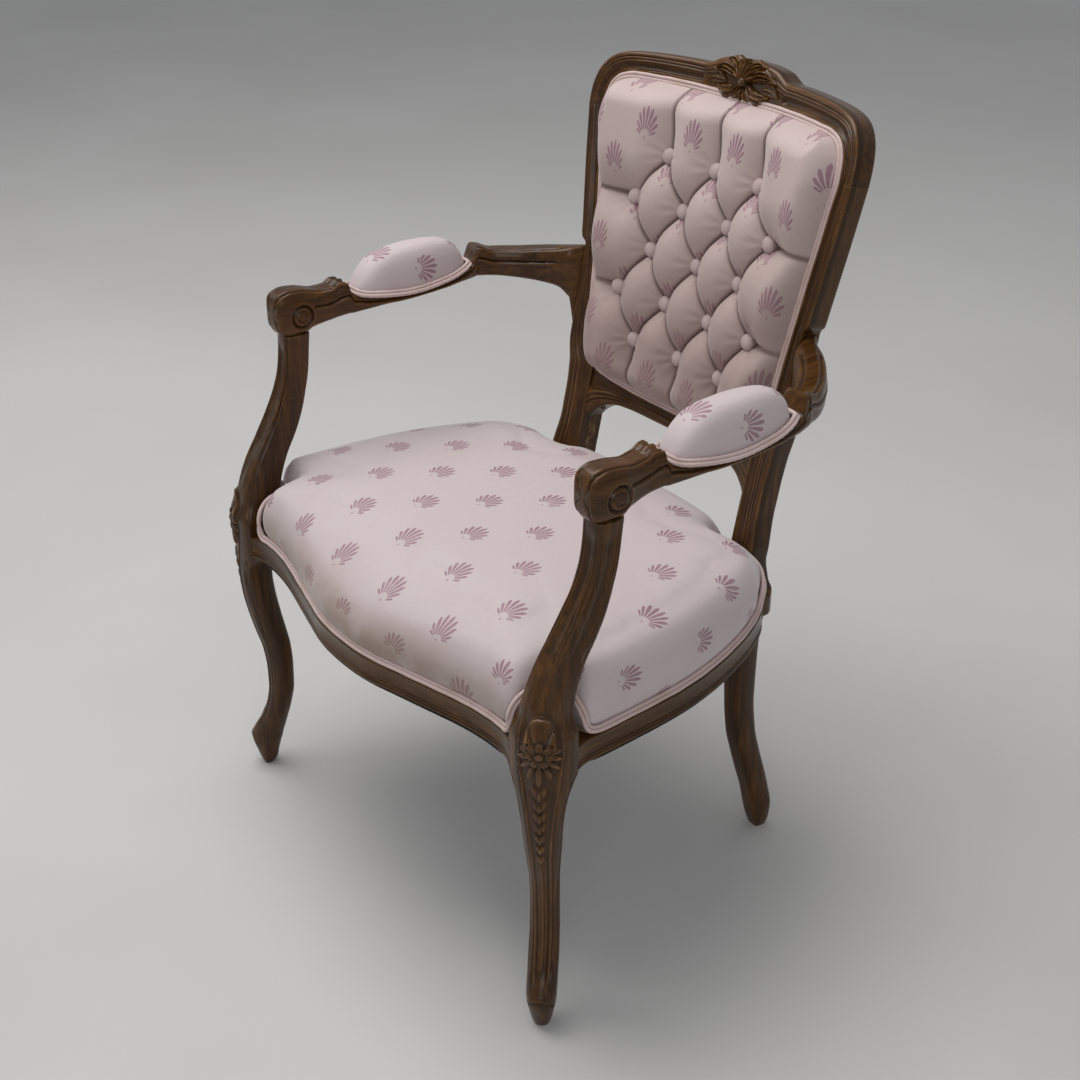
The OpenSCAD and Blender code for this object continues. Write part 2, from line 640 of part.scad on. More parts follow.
block_leg = 62;
block_h = rail_h * 0.84;
front_face_y = front_inner[len(front_inner) - 1][1];
side_face_x = lookup(front_face_y + block_leg, [for (p = side_inner) [p[1], p[0]]]);
rear_face_y = rear_rail_y - rail_t / 2;
// Head of a screw, sunk in the block's inner face
head_d = screw_d * 2;
head_l = screw_d * 0.8;
screw_z = rail_low + block_h / 2;
module corner_block(side) {
  mirrored(side) translate([0, 0, rail_low + gap]) linear_extrude(height = block_h) polygon([
    [front_in - block_leg, front_face_y + gap], [front_in - gap, front_face_y + gap],
    [front_in - gap, post_half + gap], [side_face_x - gap, post_half + gap],
    [side_face_x - gap, front_face_y + block_leg], [side_face_x - block_leg * 0.35, front_face_y + block_leg],
    [front_in - block_leg, front_face_y + block_leg * 0.45]]);
  mirrored(side) translate([0, 0, rail_low + gap]) linear_extrude(height = block_h) polygon([
    [rear_in - block_leg, rear_face_y - gap], [rear_in - gap, rear_face_y - gap],
    [rear_in - gap, rear_face_y - block_leg * 0.45], [rear_in - block_leg, rear_face_y - block_leg * 0.45]]);
}
screw_reach = screw_l / 2;
// Screws: driven through the blocks into the rails
module block_screws(shank, head, extra) {
  for (s = [-1, 1]) {
    translate([s * (front_in - block_leg * 0.62), front_face_y, screw_z]) rotate([90, 0, 0]) screw(shank, head, extra);
    translate([s * side_face_x, front_face_y + block_leg * 0.8, screw_z]) rotate([0, s * 90, 0]) screw(shank, head, extra);
    for (k = [0.42, 0.80]) {
      translate([s * (rear_in - block_leg * k), rear_face_y, screw_z]) rotate([-90, 0, 0]) screw(shank, head, extra);
    }
  }
}
module screw(shank, head, extra) {
  translate([0, 0, -screw_reach]) cylinder(d = shank, h = screw_l + extra, $fn = round_fn);
  translate([0, 0, -screw_reach - head_l]) cylinder(d = max(head, head_d), h = head_l, $fn = round_fn);
}
module corner_blocks() {
  color("#a9855a") placed() difference() {
    union() {
      corner_block(1);
      corner_block(-1);
    }
    block_screws(screw_d + bore_gap, screw_d + bore_gap, bore_gap);
  }
}
module corner_block_screws() { color("silver") placed() block_screws(screw_d, head_d, 0); }
module seat_rail_dowels() { color("#d9b98a") placed() seat_dowels(dowel_d, dowel_l); }
module back_frame_dowels() { color("#d9b98a") placed() back_dowels(dowel_d, dowel_l); }
module arm_dowels() { color("#d9b98a") placed() arm_dowel_set(post_dowel_d, dowel_d, 0); }

// Arms

arm_run = arm_end_y(arm_seam) - post_sweep;
arm_in = arm_half - arm_plane;
// Rows: place back as a share of the run, place inward as a share of the way to the stile,
// turn in degrees, half width as a share of the scroll, underside and top as shares of the scroll's height
arm_shares = [
  [-0.075, 0.00, 0, 0.30, 0.30, 0.66],
  [-0.068, 0.00, 0, 0.41, 0.14, 0.86],
  [-0.050, 0.00, 0, 0.47, 0.02, 0.96],
  [-0.020, 0.00, 0, 0.50, 0.00, 1.00],
  [0.030, 0.00, 0, 0.50, 0.00, 0.97],
  [0.052, 0.01, 0, 0.49, 0.08, 0.93],
  [0.090, 0.03, 0, 0.47, 0.14, 0.88],
  [0.130, 0.05, 0, 0.48, 0.19, 0.90],
  [0.158, 0.055, 0, 0.52, 0.22, 0.98],
  [0.180, 0.06, 0, 0.56, 0.24, 0.97],
  [0.197, 0.06, 0, 0.58, 0.25, 0.68],
  [0.300, 0.06, 0, 0.68, 0.30, 0.55],
  [0.420, 0.06, 0, 0.72, 0.33, 0.48],
  [0.560, 0.06, 3, 0.66, 0.35, 0.53],
  [0.670, 0.06, 7, 0.53, 0.36, 0.66],
  [0.692, 0.065, 9, 0.48, 0.36, 0.70],
  [0.714, 0.07, 11, 0.46, 0.36, 1.06],
  [0.732, 0.10, 14, 0.45, 0.36, 1.04],
  [0.775, 0.16, 21, 0.43, 0.34, 0.93],
  [0.850, 0.34, 33, 0.43, 0.28, 0.94],
  [0.912, 0.55, 46, 0.43, 0.21, 0.99],
  [0.955, 0.73, 60, 0.43, 0.12, 1.04],
  [0.985, 0.88, 76, 0.42, -0.14, 1.08]];
arm_section_shares = [
  [-1.00, 0.25], [-0.90, 0.06], [-0.70, 0.00], [0.70, 0.00], [0.90, 0.06], [1.00, 0.25],
  [1.00, 0.66], [0.92, 0.88], [0.62, 1.00], [-0.62, 1.00], [-0.92, 0.88], [-1.00, 0.66]];
function arm_ring(r) =
  let (c = [arm_half - arm_in * r[1], post_sweep + arm_run * r[0]], hw = scroll_w * r[3],
       n = [cos(r[2]), sin(r[2])], low = arm_seam + scroll_h * r[4], high = arm_seam + scroll_h * r[5])
  [for (s = arm_section_shares) [c[0] + n[0] * hw * s[0], c[1] + n[1] * hw * s[0], low + (high - low) * s[1]]];
// Flat end that bears on the stile
end_margin = 3;
arm_end_w = back_t / 2 - end_margin;
function arm_end_ring() = [for (s = arm_section_shares)
  let (z = arm_end_low + (arm_end_high - arm_end_low) * s[1])
  [arm_plane, arm_end_y(z) + s[0] * arm_end_w, z]];
module arm(side) {
  difference() {
    mirrored(side) loft(concat([for (r = arm_shares) arm_ring(r)], [arm_end_ring()]));
    arm_dowel_set(post_dowel_d + bore_gap, dowel_d + bore_gap, bore_gap);
  }
}
module arm_left() { color("#4a2f1c") placed() arm(-1); }
module arm_right() { color("#4a2f1c") placed() arm(1); }

// Arm pads: each lies on its arm between the leaf in front and the swell behind

pad_front_share = 0.225;
pad_rear_share = 0.662;
// Rows: share of the pad's length, share of its half width, share of its height
pad_shares = [
  [0.000, 0.66, 0.10], [0.020, 0.74, 0.22], [0.060, 0.83, 0.42], [0.130, 0.93, 0.66],
  [0.230, 1.00, 0.86], [0.360, 1.00, 0.97], [0.500, 1.00, 1.00], [0.640, 0.97, 0.97],
  [0.770, 0.92, 0.90], [0.870, 0.84, 0.76], [0.940, 0.75, 0.54], [0.980, 0.66, 0.30], [1.000, 0.58, 0.12]];
// Section of a pad: share of the half width, share of the height
pad_section_shares = [
  [-1.00, 0.00], [-1.00, 0.16], [-0.97, 0.42], [-0.84, 0.70], [-0.55, 0.91], [-0.20, 1.00],
  [0.20, 1.00], [0.55, 0.91], [0.84, 0.70], [0.97, 0.42], [1.00, 0.16], [1.00, 0.00]];
function arm_at(k, c) = lookup(k, column(arm_shares, c));
function pad_place(v) = pad_front_share + (pad_rear_share - pad_front_share) * v;
function pad_ring(r, shrink, lift) =
  let (k = pad_place(r[0]), x = arm_half - arm_in * arm_at(k, 1), y = post_sweep + arm_run * k,
       z = arm_seam + scroll_h * arm_at(k, 5) + lift, hw = scroll_w * arm_at(k, 3) * r[1] - shrink,
       h = max(pad_h * r[2] - shrink - lift, lift))
  [for (s = pad_section_shares) [x + hw * s[0], y, z + h * s[1]]];
function moved_rows(rows, a, b) = [for (r = rows) concat([a + (b - a) * r[0]], [for (i = [1 : len(r) - 1]) r[i]])];
foam_end_share = 0.03;
// Rise of the welt where it turns round the pad's ends
end_lift = 2;
module arm_pad_foam(side) {
  mirrored(side) loft([for (r = moved_rows(pad_shares, foam_end_share, 1 - foam_end_share))
    pad_ring(r, cloth_t + gap, gap)]);
}
module arm_pad_cover(side) {
  n = len(pad_shares);
  outer = [for (r = pad_shares) pad_ring(r, 0, gap)];
  inner = [for (i = [0 : n - 1]) let (r = moved_rows(pad_shares, 0, 1)[i])
    i == 0 || i == n - 1 ? pad_ring([r[0], r[1], 0], cloth_t, gap) : pad_ring(r, cloth_t, gap)];
  mirrored(side) shell(outer, inner);
}
module arm_pad_foam_left() { color("#e8dcae") placed() arm_pad_foam(-1); }
module arm_pad_foam_right() { color("#e8dcae") placed() arm_pad_foam(1); }
module arm_pad_cover_left() { color("#d8b9b6") placed() arm_pad_cover(-1); }
module arm_pad_cover_right() { color("#d8b9b6") placed() arm_pad_cover(1); }
module arm_pad_welt(side) {
  rings = [for (r = pad_shares) pad_ring(r, -welt_d / 2 - 3 * gap, gap)];
  right = [for (p = rings) p[len(p) - 1] + [0, 0, welt_d / 2]];
  left = [for (p = rings) p[0] + [0, 0, welt_d / 2]];
  n = len(left);
  end = welt_d * 0.68;
  tuck = welt_d * 0.28;
  mirrored(side) tube_loop(concat(
    [left[0] + [tuck, -end, end_lift], right[0] + [-tuck, -end, end_lift]], right,
    [right[n - 1] + [-tuck, end, end_lift], left[n - 1] + [tuck, end, end_lift]],
    [for (i = [n - 1 : -1 : 0]) left[i]]), welt_d);
}
module arm_pad_welt_left() { color("#e3c6bd") placed() arm_pad_welt(-1); }
module arm_pad_welt_right() { color("#e3c6bd") placed() arm_pad_welt(1); }

// Seat upholstery

corner_tuck = 6;
// Room behind a front post for its lean
lean_gap = 5;
// Outline of the seat at the outer faces of rails and posts, anticlockwise from above;
// the cloth keeps further from the posts than the welt between them
function seat_half(push) = concat(
  [for (i = [0 : len(front_line_shares) - 2])
    front_line[2 * i] + (i == len(front_line_shares) - 2 ? push * [-1.25, 0.45] : [0, 0])],
  [[front_in - corner_tuck - push, -post_half + corner_tuck + push / 2],
   [front_in - push, 0],
   [front_in - push, post_half + lean_gap + push],
   [front_half, post_half + lean_gap + push],
   [front_out - corner_tuck - push / 2, post_half + corner_tuck + lean_gap + push]],
  [for (i = [1 : len(side_line_shares) - 2]) side_line[2 * i]
    + (i == 1 ? push * [-0.12, 1] : i == len(side_line_shares) - 2 ? push * [-0.6, -0.5] : [0, 0])],
  [[rear_out - push, rear_front - push],
   [rear_in - push, rear_front - push],
   [rear_in - push, rear_rail_y + rail_t / 2]]);
function seat_line(push) = let (half = seat_half(push), n = len(half))
  concat(half, [for (i = [n - 1 : -1 : 1]) [-half[i][0], half[i][1]]]);
seat_mid = [0, seat_run * 0.46];
// Profile of the seat: inset, draw to the middle, and share of the crown's height
rim_inset = welt_d + 2 * gap;
seat_profile = [
  [1.00, 1.00, 0.000], [1.00, 1.00, 0.095], [0.42, 1.00, 0.140], [0.15, 1.00, 0.280],
  [0.20, 1.00, 0.450], [0.60, 0.998, 0.610], [1.00, 0.986, 0.740], [1.00, 0.950, 0.840],
  [1.00, 0.840, 0.920], [1.00, 0.610, 0.975], [1.00, 0.320, 1.000]];
// Fall of the crown towards the front and rear edges, and how far from the middle it starts
crown_fall_share = 0.16;
fall_start_share = 0.32;
function seat_ring(r, deeper, low, high) =
  [for (p = inset(seat_line(rim_inset), rim_inset * r[0] + deeper))
    let (q = seat_mid + r[1] * (p - seat_mid))
    [q[0], q[1], max(low, rail_top + gap + (high - rail_top - gap) * r[2] * crown_at(q[1]))]];
function crown_at(y) = 1 - crown_fall_share
  * pow(max(0, abs(y - seat_mid[1]) / seat_run - fall_start_share) / (0.5 - fall_start_share), 2);
seat_peak = rail_top + seat_crown;
function seat_rings(deeper, low, high) = [for (r = seat_profile) seat_ring(r, deeper, low, high)];
function seat_top(z) = [seat_mid[0], seat_mid[1], z];
layer = strap_t + gap;
burlap_t = 1;
burlap_z = rail_top + 2 * layer + gap;
foam_low = burlap_z + burlap_t + gap;
module seat_foam() {
  rings = seat_rings(cloth_t + gap, foam_low, seat_peak - cloth_t - gap);
  color("#e8dcae") placed() pod(rings, seat_top(foam_low), seat_top(seat_peak - cloth_t - gap));
}
// Shell: outer and inner skins joined at the rim
module seat_cover() {
  color("#d8b9b6") placed() cup(
    seat_rings(0, rail_top + gap, seat_peak),
    seat_rings(cloth_t, rail_top + gap, seat_peak - cloth_t),
    seat_top(seat_peak), seat_top(seat_peak - cloth_t));
}
// Welt: along the rails it lies on the wood, and at the posts it climbs with the seat
welt_low = rail_top + gap + welt_d / 2;
welt_climb = seat_crown * 0.50;
climb_share = 0.62;
function welt_half() =
  let (line = inset(seat_line(0), welt_d / 2 + gap), n = len(front_line_shares) - 1, m = len(seat_half(0)))
  [for (i = [0 : m - 1])
    let (beside = i == n || i == n + 4 || i == m - 3, against = (i > n && i < n + 4) || i == m - 2)
    [line[i][0], line[i][1], welt_low + welt_climb * (against ? 1 : beside ? climb_share : 0)]];
module seat_welt() {
  half = welt_half();
  n = len(half);
  color("#e3c6bd") placed() tube_loop(concat(half,
    [for (i = [n - 1 : -1 : 1]) [-half[i][0], half[i][1], half[i][2]]]), welt_d);
}
module seat_burlap() {
  color("#b79a6c") placed() translate([0, 0, burlap_z]) linear_extrude(height = burlap_t)
    polygon(inset(seat_line(rim_inset), rim_inset + cloth_t + 2 * gap));
}
dust_t = 0.8;
module dust_cover() {
  color("#26221f") placed() translate([0, 0, rail_low - dust_t]) linear_extrude(height = dust_t)
    polygon(inset(seat_line(rim_inset), rim_inset));
}
// Woven straps: one set lies straight over and under the other
web_x = [for (i = [0 : strap_count - 1]) (i - (strap_count - 1) / 2) * strap_w * 1.35];
web_y = [for (i = [0 : strap_count - 1]) seat_run * 0.50 + (i - (strap_count - 1) / 2) * strap_w * 1.45];
ramp = strap_w * 0.12;
// Side view of a strap that rises over every second strap of the other set
function wave(places, first, start, finish, z, rise) = concat(
  [[start, z]],
  [for (i = [0 : len(places) - 1]) if ((i + first) % 2 == 0)
    each [[places[i] - strap_w / 2 - ramp, z], [places[i] - strap_w / 2, z + rise],
      [places[i] + strap_w / 2, z + rise], [places[i] + strap_w / 2 + ramp, z]]],
  [[finish, z]]);
function thick(line, t) = let (n = len(line))
  concat(line, [for (i = [n - 1 : -1 : 0]) line[i] + [0, t]]);
strap_end = 18;
function rail_y_at(x) = lookup(abs(x), [for (p = front_line) [p[0], p[1]]]);
function rail_x_at(y) = lookup(y, [for (p = side_line) [p[1], p[0]]]);
module seat_webbing_lengthwise() {
  color("#c8b48a") placed() for (i = [0 : strap_count - 1]) {
    translate([web_x[i] - strap_w / 2, 0, 0]) rotate([90, 0, 90])
      linear_extrude(height = strap_w)
        polygon(thick(wave(web_y, i, rail_y_at(web_x[i]) + strap_end, rear_rail_y, rail_top, layer), strap_t));
  }
}
module seat_webbing_crosswise() {
  color("#c8b48a") placed() for (i = [0 : strap_count - 1]) {
    reach = rail_x_at(web_y[i] + strap_w / 2) - strap_end;
    translate([0, web_y[i] + strap_w / 2, 0]) rotate([90, 0, 0])
      linear_extrude(height = strap_w)
        polygon(thick(wave(web_x, i + 1, -reach, reach, rail_top, layer), strap_t));
  }
}

// Back upholstery

// Layers forward of the ledge
back_strap_count = 3;
// Rise of the opening's lowest edge beside the middle
function opening_rise(x) = opening_t * lookup(abs(x) / opening_half, [for (i = [0 : 6]) opening_shares[i]]);
function strap_foot(x) = along(opening_low) + gap + opening_rise(x);
module back_webbing() {
  color("#c8b48a") placed() for (i = [0 : back_strap_count - 1]) {
    p = (i - (back_strap_count - 1) / 2) * strap_w * 1.9;
    high = along(opening_high) - ledge_w * 0.3;
    ends = [p - strap_w / 2, p + strap_w / 2];
    back_layer([[ends[0], strap_foot(ends[0])], [ends[1], strap_foot(ends[1])], [ends[1], high], [ends[0], high]],
      ledge_front - strap_t, ledge_front);
  }
}
back_burlap_d = ledge_front - strap_t - gap;
module back_burlap() {
  color("#b79a6c") placed()
    back_layer(grid_outline(cover_grid(cloth_t + 2 * gap, 0)), back_burlap_d - burlap_t, back_burlap_d);
}
back_foam_d = back_burlap_d - burlap_t - gap;

// Places of the buttons: five rows of three and four, in turn
button_rows = 5;
button_row = opening_t * 0.1458;
button_low = along(opening_low) + opening_t * 0.19;
half_pitch = button_pitch / 2;
button_places = [for (j = [0 : button_rows - 1]) let (n = j % 2 == 0 ? 3 : 4)
  for (i = [0 : n - 1]) [(i - (n - 1) / 2) * button_pitch, button_low + j * button_row]];
button_high = button_low + (button_rows - 1) * button_row;
// Swell of the tufts: none on the creases between buttons, full in the middle of a diamond
function tuft_share(x, t) =
  let (cx = clamp(x, -1.5 * button_pitch, 1.5 * button_pitch), ct = clamp(t, button_low, button_high),
       a = 90 * (cx / half_pitch + (ct - button_low) / button_row),
       b = 90 * (cx / half_pitch - (ct - button_low) / button_row))
  pow(abs(sin(a) * sin(b)), 0.6);
crease_share = 0.30;
// Rows and columns of the tufted face: those between the buttons quarter and halve their pitches
cover_columns = 9;
button_columns = 6;
rows_below = 5;
rows_between = 4 * (button_rows - 1);
rows_above = 6;
cover_rows = rows_below + rows_between + rows_above;
back_rim = welt_d + 4 * gap;
back_welt_in = welt_d / 2 + 2 * gap;
function cover_t(j, low, high) =
  j <= rows_below ? low + (button_low - low) * j / rows_below
  : j <= rows_below + rows_between ? button_low + (j - rows_below) * button_row / 4
  : button_high + (high - button_high) * (j - rows_below - rows_between) / rows_above;
function cover_x(k, w) = let (last = button_columns * half_pitch / 2)
  k <= button_columns ? k * half_pitch / 2
  : last + (w - last) * (k - button_columns) / (cover_columns - button_columns);
function opening_width(t) = lookup(t, [for (r = opening_shares)
  [along(opening_low) + r[1] * opening_t, r[0] * opening_half]]);
// Points of the tufted face: columns follow the sides, rows follow the top's arch
function cover_grid(deeper, sink) =
  let (low = along(opening_low) + back_rim + deeper, high = along(opening_high) - back_rim - deeper)
  [for (j = [0 : cover_rows]) [for (i = [-cover_columns : cover_columns])
    let (t0 = cover_t(j, low, high), v = (t0 - low) / (high - low),
         w = min(opening_width(max(t0, along(opening_low) + opening_t * 0.038)),
           opening_width(t0 + opening_t * (v > 0.5 ? 0.012 : 0.1))) - back_rim - deeper,
         x = sign(i) * cover_x(abs(i), w),
         t = t0 + opening_rise(x) * pow(1 - v, 6)
           - opening_t * 0.019 * pow(v, 4) * min(1, pow(x / opening_half * 2, 2) * 0.5),
         edge = min(1, min(abs(w - abs(x)), t0 - low, high - t0) / (button_row * 0.6)),
         rise = (1 - pow(1 - edge, 2.4)) * (crease_share + (1 - crease_share) * tuft_share(x, t)))
    [x, t, rise * tuft_rise - sink + hollow(x)]]];
// Places of a grid's outer edge, in order
function edge_loop(m, n) = concat(
  [for (i = [0 : n - 1]) i], [for (j = [1 : m - 1]) j * n + n - 1],
  [for (i = [n - 2 : -1 : 0]) (m - 1) * n + i], [for (j = [m - 2 : -1 : 1]) j * n]);
function strip(a, b) = let (n = len(a)) [for (i = [0 : n - 1]) for (h = [0, 1]) let (k = (i + 1) % n)
  h == 0 ? [a[i], b[k], a[k]] : [a[i], b[i], b[k]]];
function dropped(grid, z) = [for (i = edge_loop(len(grid), len(grid[0])))
  let (n = len(grid[0]), p = grid[floor(i / n)][i % n]) [p[0], p[1], z + hollow(p[0])]];
function grid_outline(grid) = [for (i = edge_loop(len(grid), len(grid[0])))
  let (n = len(grid[0]), p = grid[floor(i / n)][i % n]) [p[0], p[1]]];
// Two fans that close one side of the bottom, between two places of the rim
function side_fans(first, last, count) = let (mid = floor((first + last) / 2), f = concat(
  [for (k = [first + 1 : mid - 1]) [first, k + 1, k]], [[first, last, mid]],
  [for (k = [mid : last - 2]) [last, k + 1, k]]))
  [for (t = f) [for (v = t) v % count]];
// Solid between a tufted face and a bottom that keeps the back's hollow
module tufted_block(top, z) {
  m = len(top);
  n = len(top[0]);
  rim = dropped(top, z);
  count = len(rim);
  side = cover_columns - button_columns;
  far = 2 * n + m - 3;
  points = concat([for (row = top) each row], rim);
  rim_at = [for (i = [0 : count - 1]) m * n + i];
  under = concat(
    [for (i = [side : n - 2 - side]) for (h = [0, 1])
      h == 0 ? [i, far - i, far - i - 1] : [i, far - i - 1, i + 1]],
    side_fans(n - 1 - side, far - n + 1 + side, count), side_fans(far - side, count + side, count));
  faces = concat(sheet_faces(m, n, 0, true), strip(edge_loop(m, n), rim_at),
    [for (f = under) [for (v = f) m * n + v]]);
  polyhedron(points = points, faces = outward(points, faces));
}
// Cloth between two tufted faces, turned down round its edge
module tufted_sheet(top, under, z) {
  m = len(top);
  n = len(top[0]);
  outer_rim = dropped(top, z);
  inner_rim = dropped(under, z);
  count = len(outer_rim);
  points = concat([for (row = top) each row], [for (row = under) each row], outer_rim, inner_rim);
  outer_at = [for (i = [0 : count - 1]) 2 * m * n + i];
  inner_at = [for (i = [0 : count - 1]) 2 * m * n + count + i];
  faces = concat(sheet_faces(m, n, 0, true), sheet_faces(m, n, m * n, false),
    strip(edge_loop(m, n), outer_at), strip(outer_at, inner_at),
    strip(inner_at, [for (i = edge_loop(m, n)) i + m * n]));
  polyhedron(points = points, faces = outward(points, faces));
}
module back_foam() {
  color("#e8dcae") placed() on_back()
    tufted_block(cover_grid(cloth_t + gap, cloth_t + gap), -back_foam_d);
}
module back_cover() {
  color("#d8b9b6") placed() on_back()
    tufted_sheet(cover_grid(0, 0), cover_grid(cloth_t, cloth_t), -back_burlap_d);
}
// Height of a button's rim above the creases, and of its dome above the rim
button_rim = button_d * 0.70;
button_t = 4;
module back_buttons() {
  color("#d8b9b6") placed() on_back() for (p = button_places) {
    translate([p[0], p[1], crease_share * tuft_rise + hollow(p[0]) + gap])
      rotate([0, -asin(p[0] / back_r), 0]) rotate_extrude($fn = round_fn) polygon([
      [0, 0], [button_d * 0.5, button_rim], [button_d * 0.47, button_rim + button_t * 0.4],
      [button_d * 0.32, button_rim + button_t * 0.82], [0, button_rim + button_t]]);
  }
}
function half_line() = let (right = [for (r = opening_shares)
    [r[0] * opening_half, along(opening_low) + r[1] * opening_t]], n = len(right))
  concat(right, [for (i = [n - 2 : -1 : 1]) [-right[i][0], right[i][1]]]);
function welt_path(line, z) = [for (p = line) back_pt(p[0], p[1], z)];
module back_welt() {
  color("#e3c6bd") placed() tube_loop(welt_path(inset(half_line(), back_welt_in), 0), welt_d);
}
// Plain cover on the outside of the back, in the rear rabbet
module outside_back_cover() {
  color("#cfaeab") placed()
    back_layer(inset(half_line(), back_rim), ledge_back + gap, ledge_back + gap + cloth_t * 2);
}
module outside_back_welt() {
  color("#e3c6bd") placed() tube_loop(welt_path(inset(half_line(), back_welt_in),
    ledge_back + welt_d / 2 + 3 * gap), welt_d);
}

front_post_left();
front_post_right();
rear_post_left();
rear_post_right();
front_seat_rail();
side_seat_rail_left();
side_seat_rail_right();
rear_seat_rail();
crest_rail();
crest_carving();
lower_back_rail();
arm_left();
arm_right();
corner_blocks();
corner_block_screws();
seat_rail_dowels();
back_frame_dowels();
arm_dowels();
seat_webbing_lengthwise();
seat_webbing_crosswise();
seat_burlap();
seat_foam();
seat_cover();
seat_welt();
dust_cover();
back_webbing();
back_burlap();
back_foam();
back_cover();
back_buttons();
back_welt();
outside_back_cover();
outside_back_welt();
arm_pad_foam_left();
arm_pad_foam_right();
arm_pad_cover_left();
arm_pad_cover_right();
arm_pad_welt_left();
arm_pad_welt_right();
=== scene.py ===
"""Open armchair: carved walnut frame, tight crowned seat, deep buttoned hollow back, padded arms.

The chair stands on +Z up and faces -Y. Tables and sizes are the frame's own, in millimetres;
Skin.piece turns them to metres and sets the chair's middle on the origin.
"""

from __future__ import annotations

import logging
import math
from dataclasses import dataclass
from enum import Enum
from typing import Callable, Sequence

import bmesh
import bpy
import numpy as np
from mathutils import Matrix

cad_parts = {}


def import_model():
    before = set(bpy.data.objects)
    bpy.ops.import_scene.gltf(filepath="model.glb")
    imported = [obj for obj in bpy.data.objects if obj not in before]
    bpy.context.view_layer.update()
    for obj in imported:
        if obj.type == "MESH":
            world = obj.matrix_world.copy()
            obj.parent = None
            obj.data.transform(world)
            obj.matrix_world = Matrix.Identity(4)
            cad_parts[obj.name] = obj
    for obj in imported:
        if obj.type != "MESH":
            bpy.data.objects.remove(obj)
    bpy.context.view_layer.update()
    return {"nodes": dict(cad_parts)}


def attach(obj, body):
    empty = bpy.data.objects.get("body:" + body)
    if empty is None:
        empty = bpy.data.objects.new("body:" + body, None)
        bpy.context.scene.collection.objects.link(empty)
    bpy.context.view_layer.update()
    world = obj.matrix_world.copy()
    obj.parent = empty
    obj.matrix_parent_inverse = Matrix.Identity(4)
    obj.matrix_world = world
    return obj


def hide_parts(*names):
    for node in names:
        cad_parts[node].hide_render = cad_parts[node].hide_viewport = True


LOG = logging.getLogger("armchair")
SIDES = ((-1, "left"), (1, "right"))
SWELL_FRAMES = 20
Array = np.ndarray
Colour = Place = tuple[float, float, float]


# ---------------------------------------------------------------- shaping


def curved(rows: Sequence, steps: int) -> Array:
    """Puts new rows between the rows of a table, on a smooth curve.

    Args:
        rows: rows of equal length.
        steps: parts that each stretch between two rows is cut into.

    Returns:
        The finer table, first and last rows kept.
    """
    given = np.asarray(rows, float)
    held = np.vstack([given[:1], given, given[-1:], given[-1:]])
    u = (np.arange(steps) / steps)[:, None]
    parts = []
    for i in range(len(given) - 1):
        a, b, c, d = held[i : i + 4]
        parts.append((2 * b + (c - a) * u + (2 * a - 5 * b + 4 * c - d) * u**2 + (3 * b - a - 3 * c + d) * u**3) / 2)
    return np.vstack(parts + [given[-1:]])


def faired(rows: Sequence, keys: Array) -> Array:
    """Reads a table's columns at keys, on curves that never swing past its rows.

    Args:
        rows: rows whose first value is the key, in rising order.
        keys: keys to read at.

    Returns:
        One row for each key, without the key column.
    """
    table = np.asarray(rows, float)
    x, y = table[:, 0], table[:, 1:]
    h = np.diff(x)[:, None]
    slope = np.diff(y, axis=0) / h
    m = np.zeros_like(y)
    a, b = slope[:-1], slope[1:]
    wa, wb = 2 * h[1:] + h[:-1], h[1:] + 2 * h[:-1]
    same = a * b > 0
    m[1:-1] = np.where(same, (wa + wb) / (wa / np.where(same, a, 1) + wb / np.where(same, b, 1)), 0)
    m[0], m[-1] = slope[0], slope[-1]
    k = np.clip(np.searchsorted(x, keys, side="right") - 1, 0, len(x) - 2)
    u = np.clip((keys - x[k]) / h[k, 0], 0, 1)[:, None]
    step = h[k]
    ends = y[k] * (1 + 2 * u) * (1 - u) ** 2 + y[k + 1] * u * u * (3 - 2 * u)
    return ends + step * m[k] * u * (1 - u) ** 2 + step * m[k + 1] * u * u * (u - 1)


def eased(value: Array, low: float, high: float) -> Array:
    """Zero below low, one above high, and a soft step between them."""
    u = np.clip((value - low) / (high - low), 0, 1)
    return u * u * (3 - 2 * u)


def gouge(off: Array, width: float, depth: float) -> Array:
    """Height of a cut line, from the distance off its middle."""
    return -depth * np.exp(-((off / width) ** 2))


def bead(off: Array, half: float, rise: float) -> Array:
    """Height of a round bead, from the distance off its middle."""
    return rise * np.sqrt(np.clip(1 - (off / half) ** 2, 0, 1))


def crisp(depth: Array) -> Array:
    """What stands out from a section's broad shape: its cuts below zero, its beads above.

    Args:
        depth: how far each point of the section is cut back.

    Returns:
        Height of the cuts and beads alone.
    """
    held = np.pad(depth, [(0, 0)] * (depth.ndim - 1) + [(4, 4)], mode="edge")
    broad = sum(held[..., k : k + depth.shape[-1]] for k in range(9)) / 9
    return 1.8 * (broad - depth)


def standing(height: Array, reach: int = 7) -> Array:
    """What stands out of a closed carved grid against the height round it.

    Args:
        height: carved height over a closed grid.
        reach: points each way that count as round about.

    Returns:
        Height against the ground round each point.
    """
    broad = height
    for axis in (0, 1):
        room = [(reach, reach) if k == axis else (0, 0) for k in (0, 1)]
        held = np.pad(broad, room, mode="wrap" if axis else "edge")
        total = np.cumsum(np.insert(held, 0, 0, axis=axis), axis=axis)
        size = 2 * reach + 1
        ends = np.take(total, np.arange(size, total.shape[axis]), axis=axis)
        broad = (ends - np.take(total, np.arange(0, total.shape[axis] - size), axis=axis)) / size
    return 1.1 * (height - broad)


def unit(rows: Array) -> Array:
    """Vectors scaled to length one."""
    return rows / (np.linalg.norm(rows, axis=-1, keepdims=True) + 1e-9)


